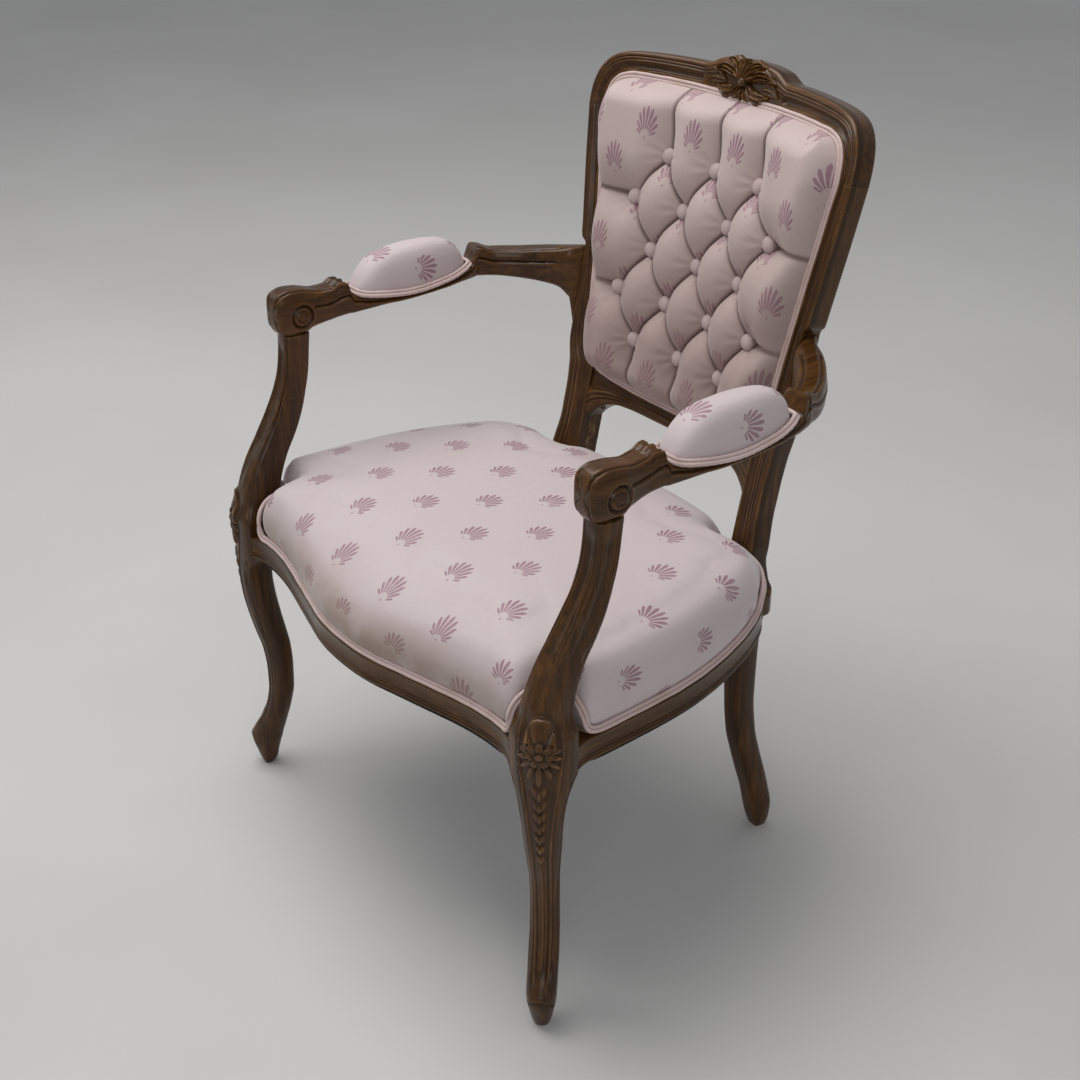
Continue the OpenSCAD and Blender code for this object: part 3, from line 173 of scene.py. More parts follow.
def respaced(ring: Array, shares: Array) -> Array:
    """Points of a closed ring at shares of its length.

    Args:
        ring: points of the ring.
        shares: shares of its length, from 0 to 1.

    Returns:
        The points there.
    """
    closed = np.vstack([ring, ring[:1]])
    run = np.concatenate([[0], np.cumsum(np.linalg.norm(np.diff(closed, axis=0), axis=1))])
    return np.stack([np.interp(shares * run[-1], run, closed[:, k]) for k in range(3)], axis=1)


def relieved(grid: Array, height: Array) -> Array:
    """Moves the points of stacked closed rings along their outward normals.

    Args:
        grid: rings of points, rings first.
        height: how far each point moves, in millimetres.

    Returns:
        The carved grid.
    """
    along = np.gradient(grid, axis=0)
    round_ = (np.roll(grid, -1, axis=1) - np.roll(grid, 1, axis=1)) / 2
    normal = unit(np.cross(along, round_))
    out = grid - grid.mean(axis=1, keepdims=True)
    if (normal * out).sum() < 0:
        normal = -normal
    return grid + normal * height[..., None]


def inset(line: Array, by: float) -> Array:
    """Line inside a closed outline that runs anticlockwise.

    Args:
        line: points of the outline.
        by: distance inward.

    Returns:
        The new outline.
    """
    u, v = unit(line - np.roll(line, 1, axis=0)), unit(np.roll(line, -1, axis=0) - line)
    p, q = np.stack([-u[:, 1], u[:, 0]], 1), np.stack([-v[:, 1], v[:, 0]], 1)
    return line + by * (p + q) / (1 + (p * q).sum(1, keepdims=True))


def cornered(path: Array, times: int) -> Array:
    """Rounds a closed path by cutting its corners, a few times over.

    Args:
        path: points of the closed path.
        times: how often every corner is cut.

    Returns:
        The rounder path.
    """
    for _ in range(times):
        after = np.roll(path, -1, axis=0)
        path = np.stack([0.75 * path + 0.25 * after, 0.25 * path + 0.75 * after], 1).reshape(-1, path.shape[1])
    return path


def outward(path: Array, reach: int) -> Array:
    """Level way out of a closed path that runs anticlockwise.

    Args:
        path: its points.
        reach: points on each side that the path's way is taken over.

    Returns:
        Unit vectors.
    """
    way = np.roll(path, -reach, axis=0) - np.roll(path, reach, axis=0)
    return unit(np.stack([way[:, 1], -way[:, 0], 0 * way[:, 0]], 1))


class Skin:
    """Mesh that is gathered shell by shell, in millimetres of the frame's own tables."""

    def __init__(self) -> None:
        """Starts with no shell."""
        self.points: list[Array] = []
        self.faces: list[tuple[int, ...]] = []
        self.cuts: list[Array] = []
        self.count = 0

    def add(self, points: Array, faces: Array, cut: Array | None = None) -> "Skin":
        """Adds one shell.

        Args:
            points: its points.
            faces: rows of places among those points.
            cut: how far each point is carved in or stands out, for the finish.

        Returns:
            This skin.
        """
        self.points.append(np.asarray(points, float).reshape(-1, 3))
        self.cuts.append(np.zeros(len(self.points[-1])) if cut is None else np.ravel(cut))
        self.faces.extend(map(tuple, (np.asarray(faces) + self.count).tolist()))
        self.count += len(self.points[-1])
        return self

    def rings(self, rings: Array, looped: bool = False, cut: Array | None = None) -> "Skin":
        """Adds a tube of rings, closed at its ends or on itself.

        Args:
            rings: rings of points, all with the same count.
            looped: whether the last ring joins the first.
            cut: carved height of each point.

        Returns:
            This skin.
        """
        m, n = rings.shape[:2]
        k, i = np.meshgrid(np.arange(m if looped else m - 1), np.arange(n), indexing="ij")
        j, k2 = (i + 1) % n, (k + 1) % m
        self.add(rings, np.stack([k * n + i, k * n + j, k2 * n + j, k2 * n + i], -1).reshape(-1, 4), cut)
        if not looped:
            first = self.count - m * n
            for at, ring in ((0, rings[0]), ((m - 1) * n, rings[-1])):
                edge = np.arange(n) + at + first - self.count
                self.add(ring.mean(axis=0)[None], np.stack([edge, np.roll(edge, -1), 0 * edge], 1))
        return self

    def cloth(
        self, top: Array, under: Array, split: Callable[[Array, Array], Array] | None = None, cut: Array | None = None
    ) -> "Skin":
        """Adds a sheet with a thickness.

        Args:
            top: grid of points of its face.
            under: the same grid on its other side.
            split: says for each square whether its falling diagonal is the fold.
            cut: carved height of each point of the face, or its mark of painted shade in folds.

        Returns:
            This skin.
        """
        m, n = top.shape[:2]
        k, i = np.meshgrid(np.arange(m - 1), np.arange(n - 1), indexing="ij")
        a = k * n + i
        falling = split(i, k) if split else np.zeros_like(a, bool)
        b, c, d = a + 1, a + n, a + n + 1
        one = np.where(falling[..., None], np.stack([a, b, c], -1), np.stack([a, b, d], -1))
        two = np.where(falling[..., None], np.stack([b, d, c], -1), np.stack([a, d, c], -1))
        face = np.vstack([one.reshape(-1, 3), two.reshape(-1, 3)])
        rim = np.concatenate([
            np.arange(n), np.arange(1, m) * n + n - 1, (m - 1) * n + np.arange(n - 2, -1, -1),
            np.arange(m - 2, 0, -1) * n,
        ])
        nxt = np.roll(rim, -1)
        base = m * n
        edge = np.vstack([np.stack([rim, base + nxt, nxt], 1), np.stack([rim, base + rim, base + nxt], 1)])
        marks = None if cut is None else np.concatenate([np.ravel(cut), np.ravel(cut)])
        points = np.vstack([top.reshape(-1, 3), under.reshape(-1, 3)])
        return self.add(points, np.vstack([face, face[:, ::-1] + base, edge]), marks)

    def piece(
        self, name: str, finish: "Finish", node: str, side: int = 1, sharp: float = 48.0
    ) -> bpy.types.Object:
        """Makes the mesh an object with a finish, which rides on the chair.

        Args:
            name: the piece's name.
            finish: what it is made of.
            node: node of the frame that it replaces.
            side: 1 as drawn, -1 mirrored to the chair's left.
            sharp: angle in degrees above which an edge stays crisp.

        Returns:
            The object.
        """
        points = np.vstack(self.points) * [side, 1, 1]
        points[:, 1] -= CHAIR.mid_y
        mesh = bpy.data.meshes.new(name)
        mesh.from_pydata((points / 1000).tolist(), [], self.faces)
        work = bmesh.new()
        work.from_mesh(mesh)
        bmesh.ops.recalc_face_normals(work, faces=work.faces)
        work.to_mesh(mesh)
        work.free()
        mesh.polygons.foreach_set("use_smooth", np.ones(len(mesh.polygons), bool))
        mesh.set_sharp_from_angle(angle=math.radians(sharp))
        # The cut mark drives the wood's painted shade in hollows, its painted highlight on raised carving and its
        # rubbed wear, and the satin's painted shade in folds.
        mesh.attributes.new("cut", "FLOAT", "POINT").data.foreach_set("value", np.concatenate(self.cuts))
        thing = bpy.data.objects.new(name, mesh)
        bpy.context.scene.collection.objects.link(thing)
        thing.data.materials.append(finish.material())
        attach(thing, "root")
        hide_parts(node)
        LOG.info("made %s, %d points", name, len(points))
        return thing


def mapped(piece: bpy.types.Object, place: Callable[[Array, Array], Array]) -> None:
    """Gives a cloth piece the places of its points on the flat cloth, in millimetres.

    Args:
        piece: the piece.
        place: turns points and normals, in metres, to places on the cloth.
    """
    mesh = piece.data
    points, normals = np.zeros(len(mesh.vertices) * 3), np.zeros(len(mesh.vertices) * 3)
    mesh.vertices.foreach_get("co", points)
    mesh.vertices.foreach_get("normal", normals)
    flat = place(points.reshape(-1, 3), normals.reshape(-1, 3))
    layer = mesh.attributes.new("cloth", "FLOAT_VECTOR", "POINT")
    layer.data.foreach_set("vector", np.concatenate([flat, np.zeros((len(flat), 1))], 1).ravel())


# ---------------------------------------------------------------- sizes


@dataclass(frozen=True)
class Sizes:
    """Main sizes of the chair in millimetres, the same as the frame's."""

    rail_top: float = 371.0
    rail_h: float = 30.0
    front_half: float = 305.0
    rear_in: float = 146.0
    seat_run: float = 406.0
    post_w: float = 52.0
    rear_post_w: float = 74.0
    rear_post_t: float = 33.0
    front_bow: float = 37.0
    rail_t: float = 28.0
    back_rake: float = 12.0
    back_set: float = 3.0
    back_bow: float = 42.0
    shoulder_half: float = 228.0
    opening_half: float = 206.0
    opening_low: float = 516.0
    opening_high: float = 905.0
    back_t: float = 33.0
    crest_joint: float = 850.0
    lower_rail_low: float = 494.0
    arm_seam: float = 618.0
    scroll_h: float = 58.0
    arm_half: float = 308.0
    post_sweep: float = 72.0
    scroll_w: float = 39.0
    pad_h: float = 56.0
    seat_crown: float = 95.0
    tuft_rise: float = 40.0
    button_pitch: float = 79.0
    button_d: float = 17.0
    welt_d: float = 7.0
    cloth_t: float = 1.5
    gap: float = 0.3
    ledge_w: float = 14.0
    ledge_front: float = 12.0
    ledge_back: float = 24.0
    mid_y: float = 248.762
    seat_middle: float = 0.46
    stile_share: float = 0.667
    arm_share: float = 0.87

    @property
    def rail_low(self) -> float:
        """Underside of the seat rails."""
        return self.rail_top - self.rail_h

    @property
    def post_half(self) -> float:
        """Half the side of a front post's block."""
        return self.post_w / 2

    @property
    def front_in(self) -> float:
        """Inner face of a front post."""
        return self.front_half - self.post_half

    @property
    def front_out(self) -> float:
        """Outer face of a front post."""
        return self.front_half + self.post_half

    @property
    def rear_out(self) -> float:
        """Outer face of a rear post."""
        return self.rear_in + self.rear_post_w

    @property
    def rear_front(self) -> float:
        """Front face of a rear post."""
        return self.seat_run - self.rear_post_t / 2

    @property
    def rear_back(self) -> float:
        """Rear face of a rear post."""
        return self.seat_run + self.rear_post_t / 2

    @property
    def stile_in(self) -> float:
        """Inner face of a stile below the opening."""
        return self.stile_share * self.shoulder_half

    @property
    def arm_plane(self) -> float:
        """Face of the stile that the arm ends on."""
        return self.arm_share * self.shoulder_half

    @property
    def middle(self) -> Array:
        """Middle of the seat, from above."""
        return np.array([0, self.seat_run * self.seat_middle])

    @property
    def tilt(self) -> float:
        """Lean of the back in radians."""
        return math.radians(self.back_rake)

    @property
    def back_y(self) -> float:
        """Where the back's lean meets the floor."""
        return self.seat_run + self.back_set - self.rail_top * math.tan(self.tilt)

    @property
    def back_r(self) -> float:
        """Radius of the back's hollow."""
        return (self.shoulder_half**2 + self.back_bow**2) / (2 * self.back_bow)

    @property
    def opening_t(self) -> float:
        """Height of the upholstered opening, along the lean."""
        return self.along(self.opening_high) - self.along(self.opening_low)

    def along(self, height: float) -> float:
        """Distance up the lean that reaches a height."""
        return height / math.cos(self.tilt)

    def hollow(self, x: Array) -> Array:
        """How far the back's face stands forward at x."""
        return self.back_r - np.sqrt(self.back_r**2 - np.asarray(x, float) ** 2)

    def back(self, x: Array, t: Array, d: Array) -> Array:
        """Points of the back.

        Args:
            x: across.
            t: up along the lean.
            d: back from the hollow front face.

        Returns:
            The points, coordinates last.
        """
        x, t, d = np.broadcast_arrays(np.asarray(x, float), np.asarray(t, float), np.asarray(d, float))
        e = d - self.hollow(x)
        s, c = math.sin(self.tilt), math.cos(self.tilt)
        return np.stack([x, self.back_y + t * s + e * c, t * c - e * s], -1)


CHAIR = Sizes()

OPENING = [
    (0.00, 0.000), (0.125, 0.0005), (0.25, 0.002), (0.41, 0.007), (0.60, 0.020), (0.706, 0.036),
    (0.782, 0.066), (0.820, 0.116), (0.845, 0.220), (0.866, 0.336), (0.893, 0.449), (0.918, 0.560),
    (0.949, 0.671), (0.976, 0.781), (0.998, 0.846), (0.993, 0.900), (0.965, 0.945), (0.910, 0.973),
    (0.820, 0.988), (0.685, 0.993), (0.544, 0.997), (0.360, 0.9995), (0.18, 1.000), (0.00, 1.000),
]


def opening_line(steps: int) -> Array:
    """Closed outline of the upholstered opening in the back's plane, anticlockwise."""
    right = curved(OPENING, steps) * [CHAIR.opening_half, CHAIR.opening_t] + [0, CHAIR.along(CHAIR.opening_low)]
    return np.vstack([right, right[-2:0:-1] * [-1, 1]])


def opening_width(t: Array) -> Array:
    """Half the opening's width at a distance up the lean.

    Args:
        t: distances up the lean.

    Returns:
        Half widths at them.
    """
    rows = curved(OPENING, 6)
    rows = rows[np.argsort(rows[:, 1], kind="stable")]
    share = (np.asarray(t) - CHAIR.along(CHAIR.opening_low)) / CHAIR.opening_t
    return np.interp(share, rows[:, 1], rows[:, 0]) * CHAIR.opening_half


def opening_rise(x: Array) -> Array:
    """Rise of the opening's lowest edge beside the middle."""
    low = np.array(OPENING[:7])
    return np.interp(np.abs(x) / CHAIR.opening_half, low[:, 0], low[:, 1]) * CHAIR.opening_t


# ---------------------------------------------------------------- finishes


class Num:
    """Value that a node gives, which Python's operators work on."""

    def __init__(self, graph: "Graph", socket: bpy.types.NodeSocket) -> None:
        """Wraps a socket of a graph."""
        self.graph = graph
        self.socket = socket

    def maths(self, operation: str, *others: "Num | float") -> "Num":
        """Adds one Math node."""
        return self.graph.node("ShaderNodeMath", {"operation": operation}, dict(enumerate((self, *others))))

    def __add__(self, other: "Num | float") -> "Num":
        """Sum."""
        return self.maths("ADD", other)

    def __mul__(self, other: "Num | float") -> "Num":
        """Product."""
        return self.maths("MULTIPLY", other)

    def __sub__(self, other: "Num | float") -> "Num":
        """Difference."""
        return self.maths("SUBTRACT", other)

    def __rsub__(self, other: float) -> "Num":
        """Number less this value."""
        return self.graph.node("ShaderNodeMath", {"operation": "SUBTRACT"}, {0: other, 1: self})

    def __truediv__(self, other: "Num | float") -> "Num":
        """Quotient."""
        return self.maths("DIVIDE", other)

    def __pow__(self, other: "Num | float") -> "Num":
        """Power."""
        return self.maths("POWER", other)

    def __abs__(self) -> "Num":
        """Size without sign."""
        return self.maths("ABSOLUTE")

    __radd__ = __add__
    __rmul__ = __mul__

    def step(self, low: float, high: float) -> "Num":
        """Soft step from zero at low to one at high.

        Args:
            low: value where the step begins.
            high: value where it ends.

        Returns:
            The step.
        """
        settings = {"interpolation_type": "SMOOTHSTEP", "clamp": True}
        return self.graph.node("ShaderNodeMapRange", settings, {"Value": self, "From Min": low, "From Max": high})


class Graph:
    """Node tree of one material with a Principled shader."""

    def __init__(self, name: str, **constants: object) -> None:
        """Makes the material, with the shader's fixed values.

        Args:
            name: name of the material.
            constants: values of the shader's inputs, by name.
        """
        self.stuff = bpy.data.materials.new(name)
        self.stuff.use_nodes = True
        self.tree = self.stuff.node_tree
        self.shader = self.tree.nodes["Principled BSDF"]
        for key, value in constants.items():
            self.shader.inputs[key.replace("_", " ")].default_value = value

    def node(self, kind: str, settings: dict | None = None, inputs: dict | None = None, out: int | str = 0) -> Num:
        """Adds one node.

        Args:
            kind: its type.
            settings: its settings, which are set first.
            inputs: values or links of its sockets, by name or place.
            out: the output that is wanted.

        Returns:
            That output.
        """
        made = self.tree.nodes.new(kind)
        for key, value in (settings or {}).items():
            setattr(made, key, value)
        for key, value in (inputs or {}).items():
            if isinstance(value, Num):
                self.tree.links.new(value.socket, made.inputs[key])
            else:
                made.inputs[key].default_value = value
        return Num(self, made.outputs[out])

    def mix(self, low: "Num | Colour", high: "Num | Colour", share: "Num | float") -> Num:
        """Colour between two colours."""
        ends = [c if isinstance(c, Num) else (*c, 1.0) for c in (low, high)]
        return self.node("ShaderNodeMix", {"data_type": "RGBA"}, {0: share, 6: ends[0], 7: ends[1]}, 2)

    def place(self, scale: Place) -> Num:
        """Object coordinates, stretched."""
        here = self.node("ShaderNodeTexCoord", out="Object")
        return self.node("ShaderNodeVectorMath", {"operation": "MULTIPLY"}, {0: here, 1: scale})

    def noise(self, at: Num, scale: float, detail: float = 3.0, rough: float = 0.55) -> Num:
        """Noise at a place."""
        inputs = {"Vector": at, "Scale": scale, "Detail": detail, "Roughness": rough}
        return self.node("ShaderNodeTexNoise", None, inputs)

    def here(self) -> Num:
        """Object coordinates, in metres."""
        return self.place((1.0, 1.0, 1.0))

    def parts(self, vector: Num) -> list[Num]:
        """The three numbers of a vector."""
        first = self.node("ShaderNodeSeparateXYZ", None, {0: vector})
        return [Num(self, socket) for socket in first.socket.node.outputs]

    def mark(self, name: str, out: str = "Fac") -> Num:
        """Value that the mesh carries under a name."""
        return self.node("ShaderNodeAttribute", {"attribute_name": name}, out=out)

    def edge(self) -> Num:
        """How sharply the surface bends: over a half on edges, under it in corners."""
        return self.node("ShaderNodeNewGeometry", out="Pointiness")

    def feed(self, socket: str, value: Num) -> None:
        """Links a value to a socket of the shader."""
        self.tree.links.new(value.socket, self.shader.inputs[socket])

    def bump(self, height: Num, depth: float, strength: float = 1.0) -> None:
        """Feeds the shader's normal with a height in units of depth metres."""
        inputs = {"Height": height, "Distance": depth, "Strength": strength}
        self.feed("Normal", self.node("ShaderNodeBump", None, inputs))


class Grain(Enum):
    """Which way the grain of a piece runs: how dense the pattern is along x, y and z."""

    UP = (1.0, 1.0, 0.07)
    ACROSS = (0.07, 1.0, 1.0)
    BACK = (1.0, 0.07, 1.0)


class Finish:
    """Something that a piece is made of. Its material is made once."""

    slot: str
    made: dict[str, bpy.types.Material] = {}

    def material(self) -> bpy.types.Material:
        """The finish's material.

        Returns:
            The material, made once.
        """
        key = repr(self)
        if key not in Finish.made:
            Finish.made[key] = self.mixed()
        return Finish.made[key]

    def mixed(self) -> bpy.types.Material:
        """Makes the material."""
        raise NotImplementedError

    def dress(self, node: bpy.types.Object) -> None:
        """Gives the finish to a node of the frame."""
        for slot in node.material_slots:
            slot.material = self.material()


@dataclass(frozen=True)
class Timber(Finish):
    """Wood with grain, pores and rubbed edges, with painted shade in its hollows and a painted highlight on raised
    carving.
    """

    name: str
    grain: Grain
    deep: Colour = (0.032, 0.0130, 0.0032)
    body: Colour = (0.100, 0.040, 0.0075)
    light: Colour = (0.165, 0.071, 0.016)
    worn: Colour = (0.42, 0.25, 0.095)
    wear: float = 0.75
    gloss: float = 0.25
    lacquer: float = 0.20
    slot: str = "frame_wood"

    def mixed(self) -> bpy.types.Material:
        """Makes the wood.

        Returns:
            The material.
        """
        g = Graph(self.name, Coat_Weight=self.lacquer, Coat_Roughness=0.11, Specular_IOR_Level=0.22)
        at = g.place(self.grain.value)
        cut = g.mark("cut")
        cloudy = g.noise(at, 14.0, 4.0, 0.6)
        streak = g.noise(at, 130.0, 4.0, 0.62)
        pore = g.noise(at, 900.0, 2.0, 0.5)
        figure = (cloudy * 0.55 + streak * 0.45).step(0.34, 0.66)
        colour = g.mix(self.deep, self.body, figure)
        colour = g.mix(colour, self.light, streak.step(0.5, 0.78) * 0.42)
        colour = g.mix(colour, self.deep, pore.step(0.58, 0.72) * 0.45)
        edge = g.edge()
        patch = g.noise(g.here(), 38.0, 4.0, 0.65)
        # Painted shade: concave corners (low pointiness) and carved hollows are darkened towards the deep colour.
        hollow = (1 - edge.step(0.40, 0.495)).maths("MAXIMUM", 1 - cut.step(-1.3, -0.1))
        colour = g.mix(colour, self.deep, hollow * 0.85)
        scuff = g.noise(g.place((0.25, 1.0, 0.8)), 210.0, 2.0, 0.5).step(0.71, 0.76) * patch.step(0.5, 0.62)
        proud = edge.step(0.535, 0.61).maths("MAXIMUM", cut.step(0.9, 2.2) * 0.5)
        rubbed = proud * patch.step(0.42, 0.66) * self.wear
        # Painted highlight: raised carving is lightened towards the light colour.
        colour = g.mix(colour, self.light, cut.step(0.3, 1.3) * 0.30)
        colour = g.mix(colour, self.worn, rubbed)
        colour = g.mix(colour, self.worn, scuff * 0.45 * self.wear)
        g.feed("Base Color", colour)
        g.feed("Roughness", self.gloss + 0.16 * streak.step(0.3, 0.8) + 0.22 * rubbed + 0.12 * hollow)
        g.bump(streak * 0.5 + pore * 0.35 - scuff * 0.6, 0.0005, 0.55)
        return g.stuff


@dataclass(frozen=True)
class Satin(Finish):
    """Pale satin with woven shell fans in staggered rows."""

    name: str
    across: float = 101.0
    up: float = 60.3
    drop: float = 45.5
    start: tuple[float, float] = (44.0, -264.0)
    ground: Colour = (0.580, 0.493, 0.500)
    fan: Colour = (0.315, 0.165, 0.215)
    aged: Colour = (0.50, 0.39, 0.355)
    slim: float = 1.1
    pace: float = 0.285
    front_stain_and_shade: float = 0.0
    # Strength of the darkening towards the bottom of the piece.
    darkened: float = 0.0
    fans: float = 1.0
    slot: str = "cover_fabric"

    def shells(self, u: Num, v: Num) -> Num:
        """Where the fans are: nine tapering rays from a foot.

        Args:
            u: place across the cloth, in millimetres.
            v: place up the cloth.

        Returns:
            One on a ray, zero beside it.
        """
        row = ((v - self.start[1]) / self.up).maths("ROUND")
        dv = v - self.start[1] - row * self.up + 17.0
        du = u - self.start[0] - row * self.drop
        du = du - (du / self.across).maths("ROUND") * self.across
        du = du * self.slim
        dv = dv / self.slim**0.5
        r = (du * du + dv * dv) ** 0.5
        angle = du.maths("ARCTAN2", dv)
        ray = (angle / self.pace).maths("ROUND")
        off = abs(angle - ray * self.pace) * r
        reach = 32.5 - ray * ray * 0.95
        share = (r - 8.0) / (reach - 8.0)
        half = r * 0.101 * (1 - share.maths("MAXIMUM", 0.0) ** 9.0)
        inside = (half - off).step(-0.10, 0.30)
        ends = share.step(0.0, 0.05) * (1 - share.step(0.98, 1.0)) * (1 - abs(ray).step(4.2, 4.6))
        dot = 1 - r.step(1.3, 1.8)
        return (inside * ends).maths("MAXIMUM", dot * 0.7)

    def mixed(self) -> bpy.types.Material:
        """Makes the satin.

        Returns:
            The material.
        """
        g = Graph(self.name, Sheen_Weight=0.25, Sheen_Roughness=0.35, Specular_IOR_Level=0.4)
        u, v, _ = g.parts(g.mark("cloth", "Vector"))
        here = g.here()
        mottle = g.noise(here, 9.0, 3.0, 0.6)
        rub = g.noise(here, 46.0, 4.0, 0.62)
        thread = g.node("ShaderNodeCombineXYZ", None, {0: u * 0.12, 1: v * 1.6, 2: 0.0})
        weft = g.noise(thread, 1.0, 2.0, 0.5)
        twill = g.noise(g.node("ShaderNodeCombineXYZ", None, {0: u * 1.9, 1: v * 0.25, 2: 3.0}), 1.0, 2.0, 0.5)
        colour = g.mix(self.ground, self.aged, mottle.step(0.48, 0.78) * 0.34 + rub.step(0.55, 0.8) * 0.12)
        colour = g.mix(colour, tuple(min(1.0, c * 1.10) for c in self.ground), weft.step(0.4, 0.7) * 0.5)
        fan = self.shells(u, v) * self.fans
        worn = 0.80 - rub.step(0.5, 0.8) * 0.35 + twill.step(0.3, 0.7) * 0.18
        colour = g.mix(colour, self.fan, fan * worn)
        # Painted shade: the back cover's folds are darkened towards a deep brown by the cut mark.
        fold = 1 - g.mark("cut").step(-1.0, -0.05)
        colour = g.mix(colour, (0.13, 0.075, 0.070), fold * 0.85)
        _, y, z = g.parts(here)
        # Darker towards the bottom of the back, patchy with the rub noise.
        if self.darkened:
            low = (1 - z.step(0.58, 0.90)) * (0.55 + 0.45 * rub)
            colour = g.mix(colour, (0.24, 0.155, 0.130), low * self.darkened)
        # A real stain and painted shade together: the seat cover's low front band is darkened to brown in noisy blots.
        if self.front_stain_and_shade:
            low = (1 - z.step(0.385, 0.448)) * (1 - y.step(-0.290, -0.205))
            blot = g.noise(here, 9.0, 4.0, 0.6).step(0.22, 0.66)
            colour = g.mix(colour, (0.27, 0.185, 0.125), low * blot * self.front_stain_and_shade)
        g.feed("Base Color", colour)
        g.feed("Roughness", 0.50 + 0.14 * weft - 0.10 * fan + 0.08 * rub)
        g.bump(weft * 0.55 + twill * 0.35 + fan * 0.55 + rub * 0.5, 0.0004, 0.6)
        return g.stuff


@dataclass(frozen=True)
class Weave(Finish):
    """Plain woven cloth: threads both ways, slubs and some dirt."""

    name: str
    slot: str
    thread: Colour
    shade: Colour
    pitch: float
    rough: float = 0.85
    fuzz: float = 0.15

    def mixed(self) -> bpy.types.Material:
        """Makes the cloth.

        Returns:
            The material.
        """
        g = Graph(self.name, Sheen_Weight=self.fuzz, Roughness=self.rough, Specular_IOR_Level=0.25)
        here = g.here()
        wave = 2 * math.pi / self.pitch
        x, y, z = g.parts(here)
        slub = g.noise(here, 260.0, 3.0, 0.6)
        warp = abs(((x + slub * self.pitch * 0.3) * wave).maths("SINE"))
        weft = abs(((y + z + slub * self.pitch * 0.3) * wave).maths("SINE"))
        knit = warp.maths("MAXIMUM", weft) * 0.6 + warp * weft * 0.4
        dirt = g.noise(here, 12.0, 4.0, 0.6).step(0.45, 0.75)
        colour = g.mix(self.shade, self.thread, knit.step(0.2, 0.95))
        colour = g.mix(colour, self.shade, dirt * 0.4 + slub.step(0.55, 0.8) * 0.3)
        g.feed("Base Color", colour)
        g.bump(knit + slub * 0.5, 0.0005, 0.8)
        return g.stuff


@dataclass(frozen=True)
class Piping(Finish):
    """Cord covered in bias-cut satin, rubbed and a little dirty."""

    name: str = "piping"
    ground: Colour = (0.600, 0.460, 0.435)
    darkened: Colour = (0.46, 0.32, 0.235)
    slot: str = "welt_cord"

    def mixed(self) -> bpy.types.Material:
        """Makes the piping.

        Returns:
            The material.
        """
        g = Graph(self.name, Sheen_Weight=0.2, Specular_IOR_Level=0.35)
        here = g.here()
        soil = g.noise(here, 17.0, 4.0, 0.62)
        fray = g.noise(here, 240.0, 3.0, 0.6)
        bias = g.noise(g.place((1.0, 0.3, 1.0)), 700.0, 2.0, 0.5)
        colour = g.mix(self.ground, self.darkened, soil.step(0.46, 0.74) * 0.65)
        colour = g.mix(colour, (0.68, 0.57, 0.55), fray.step(0.52, 0.75) * 0.35)
        # Painted shade: concave places of the welt, such as the groove between its cords, are darkened.
        colour = g.mix(colour, (0.26, 0.16, 0.13), (1 - g.edge().step(0.36, 0.48)) * 0.8)
        g.feed("Base Color", colour)
        g.feed("Roughness", 0.55 + 0.2 * fray)
        g.bump(bias + fray * 0.6, 0.0004, 0.6)
        return g.stuff


@dataclass(frozen=True)
class Foam(Finish):
    """Open foam with fine pores."""

    name: str = "foam"
    ground: Colour = (0.74, 0.64, 0.36)
    slot: str = "foam"

    def mixed(self) -> bpy.types.Material:
        """Makes the foam.

        Returns:
            The material.
        """
        g = Graph(self.name, Roughness=0.95, Specular_IOR_Level=0.15)
        here = g.here()
        pores = g.node("ShaderNodeTexVoronoi", None, {"Vector": here, "Scale": 700.0})
        old = g.noise(here, 8.0, 3.0, 0.6).step(0.4, 0.8)
        colour = g.mix(self.ground, (0.55, 0.40, 0.18), old * 0.5 + (1 - pores.step(0.1, 0.5)) * 0.3)
        g.feed("Base Color", colour)
        g.bump(pores, 0.0006, 0.8)
        return g.stuff


@dataclass(frozen=True)
class Steel(Finish):
    """Zinc-bright screw steel with a dull bloom."""

    name: str = "screw steel"

    def mixed(self) -> bpy.types.Material:
        """Makes the steel.

        Returns:
            The material.
        """
        g = Graph(self.name, Metallic=1.0)
        here = g.here()
        bloom = g.noise(here, 160.0, 4.0, 0.6).step(0.35, 0.75)
        g.feed("Base Color", g.mix((0.60, 0.59, 0.56), (0.33, 0.31, 0.28), bloom))
        g.feed("Roughness", 0.28 + 0.3 * bloom)
        g.bump(bloom, 0.0001, 0.4)
        return g.stuff


@dataclass(frozen=True)
class Plaster(Finish):
    """Plain pale floor."""

    name: str = "plain floor"

    def mixed(self) -> bpy.types.Material:
        """Makes the floor, with a faint grain that keeps it from looking empty.

        Returns:
            The material.
        """
        g = Graph(self.name, Roughness=0.8, Specular_IOR_Level=0.2)
        here = g.here()
        cloud = g.noise(here, 1.3, 3.0, 0.5)
        g.feed("Base Color", g.mix((0.60, 0.59, 0.57), (0.64, 0.63, 0.615), cloud.step(0.3, 0.7)))
        return g.stuff


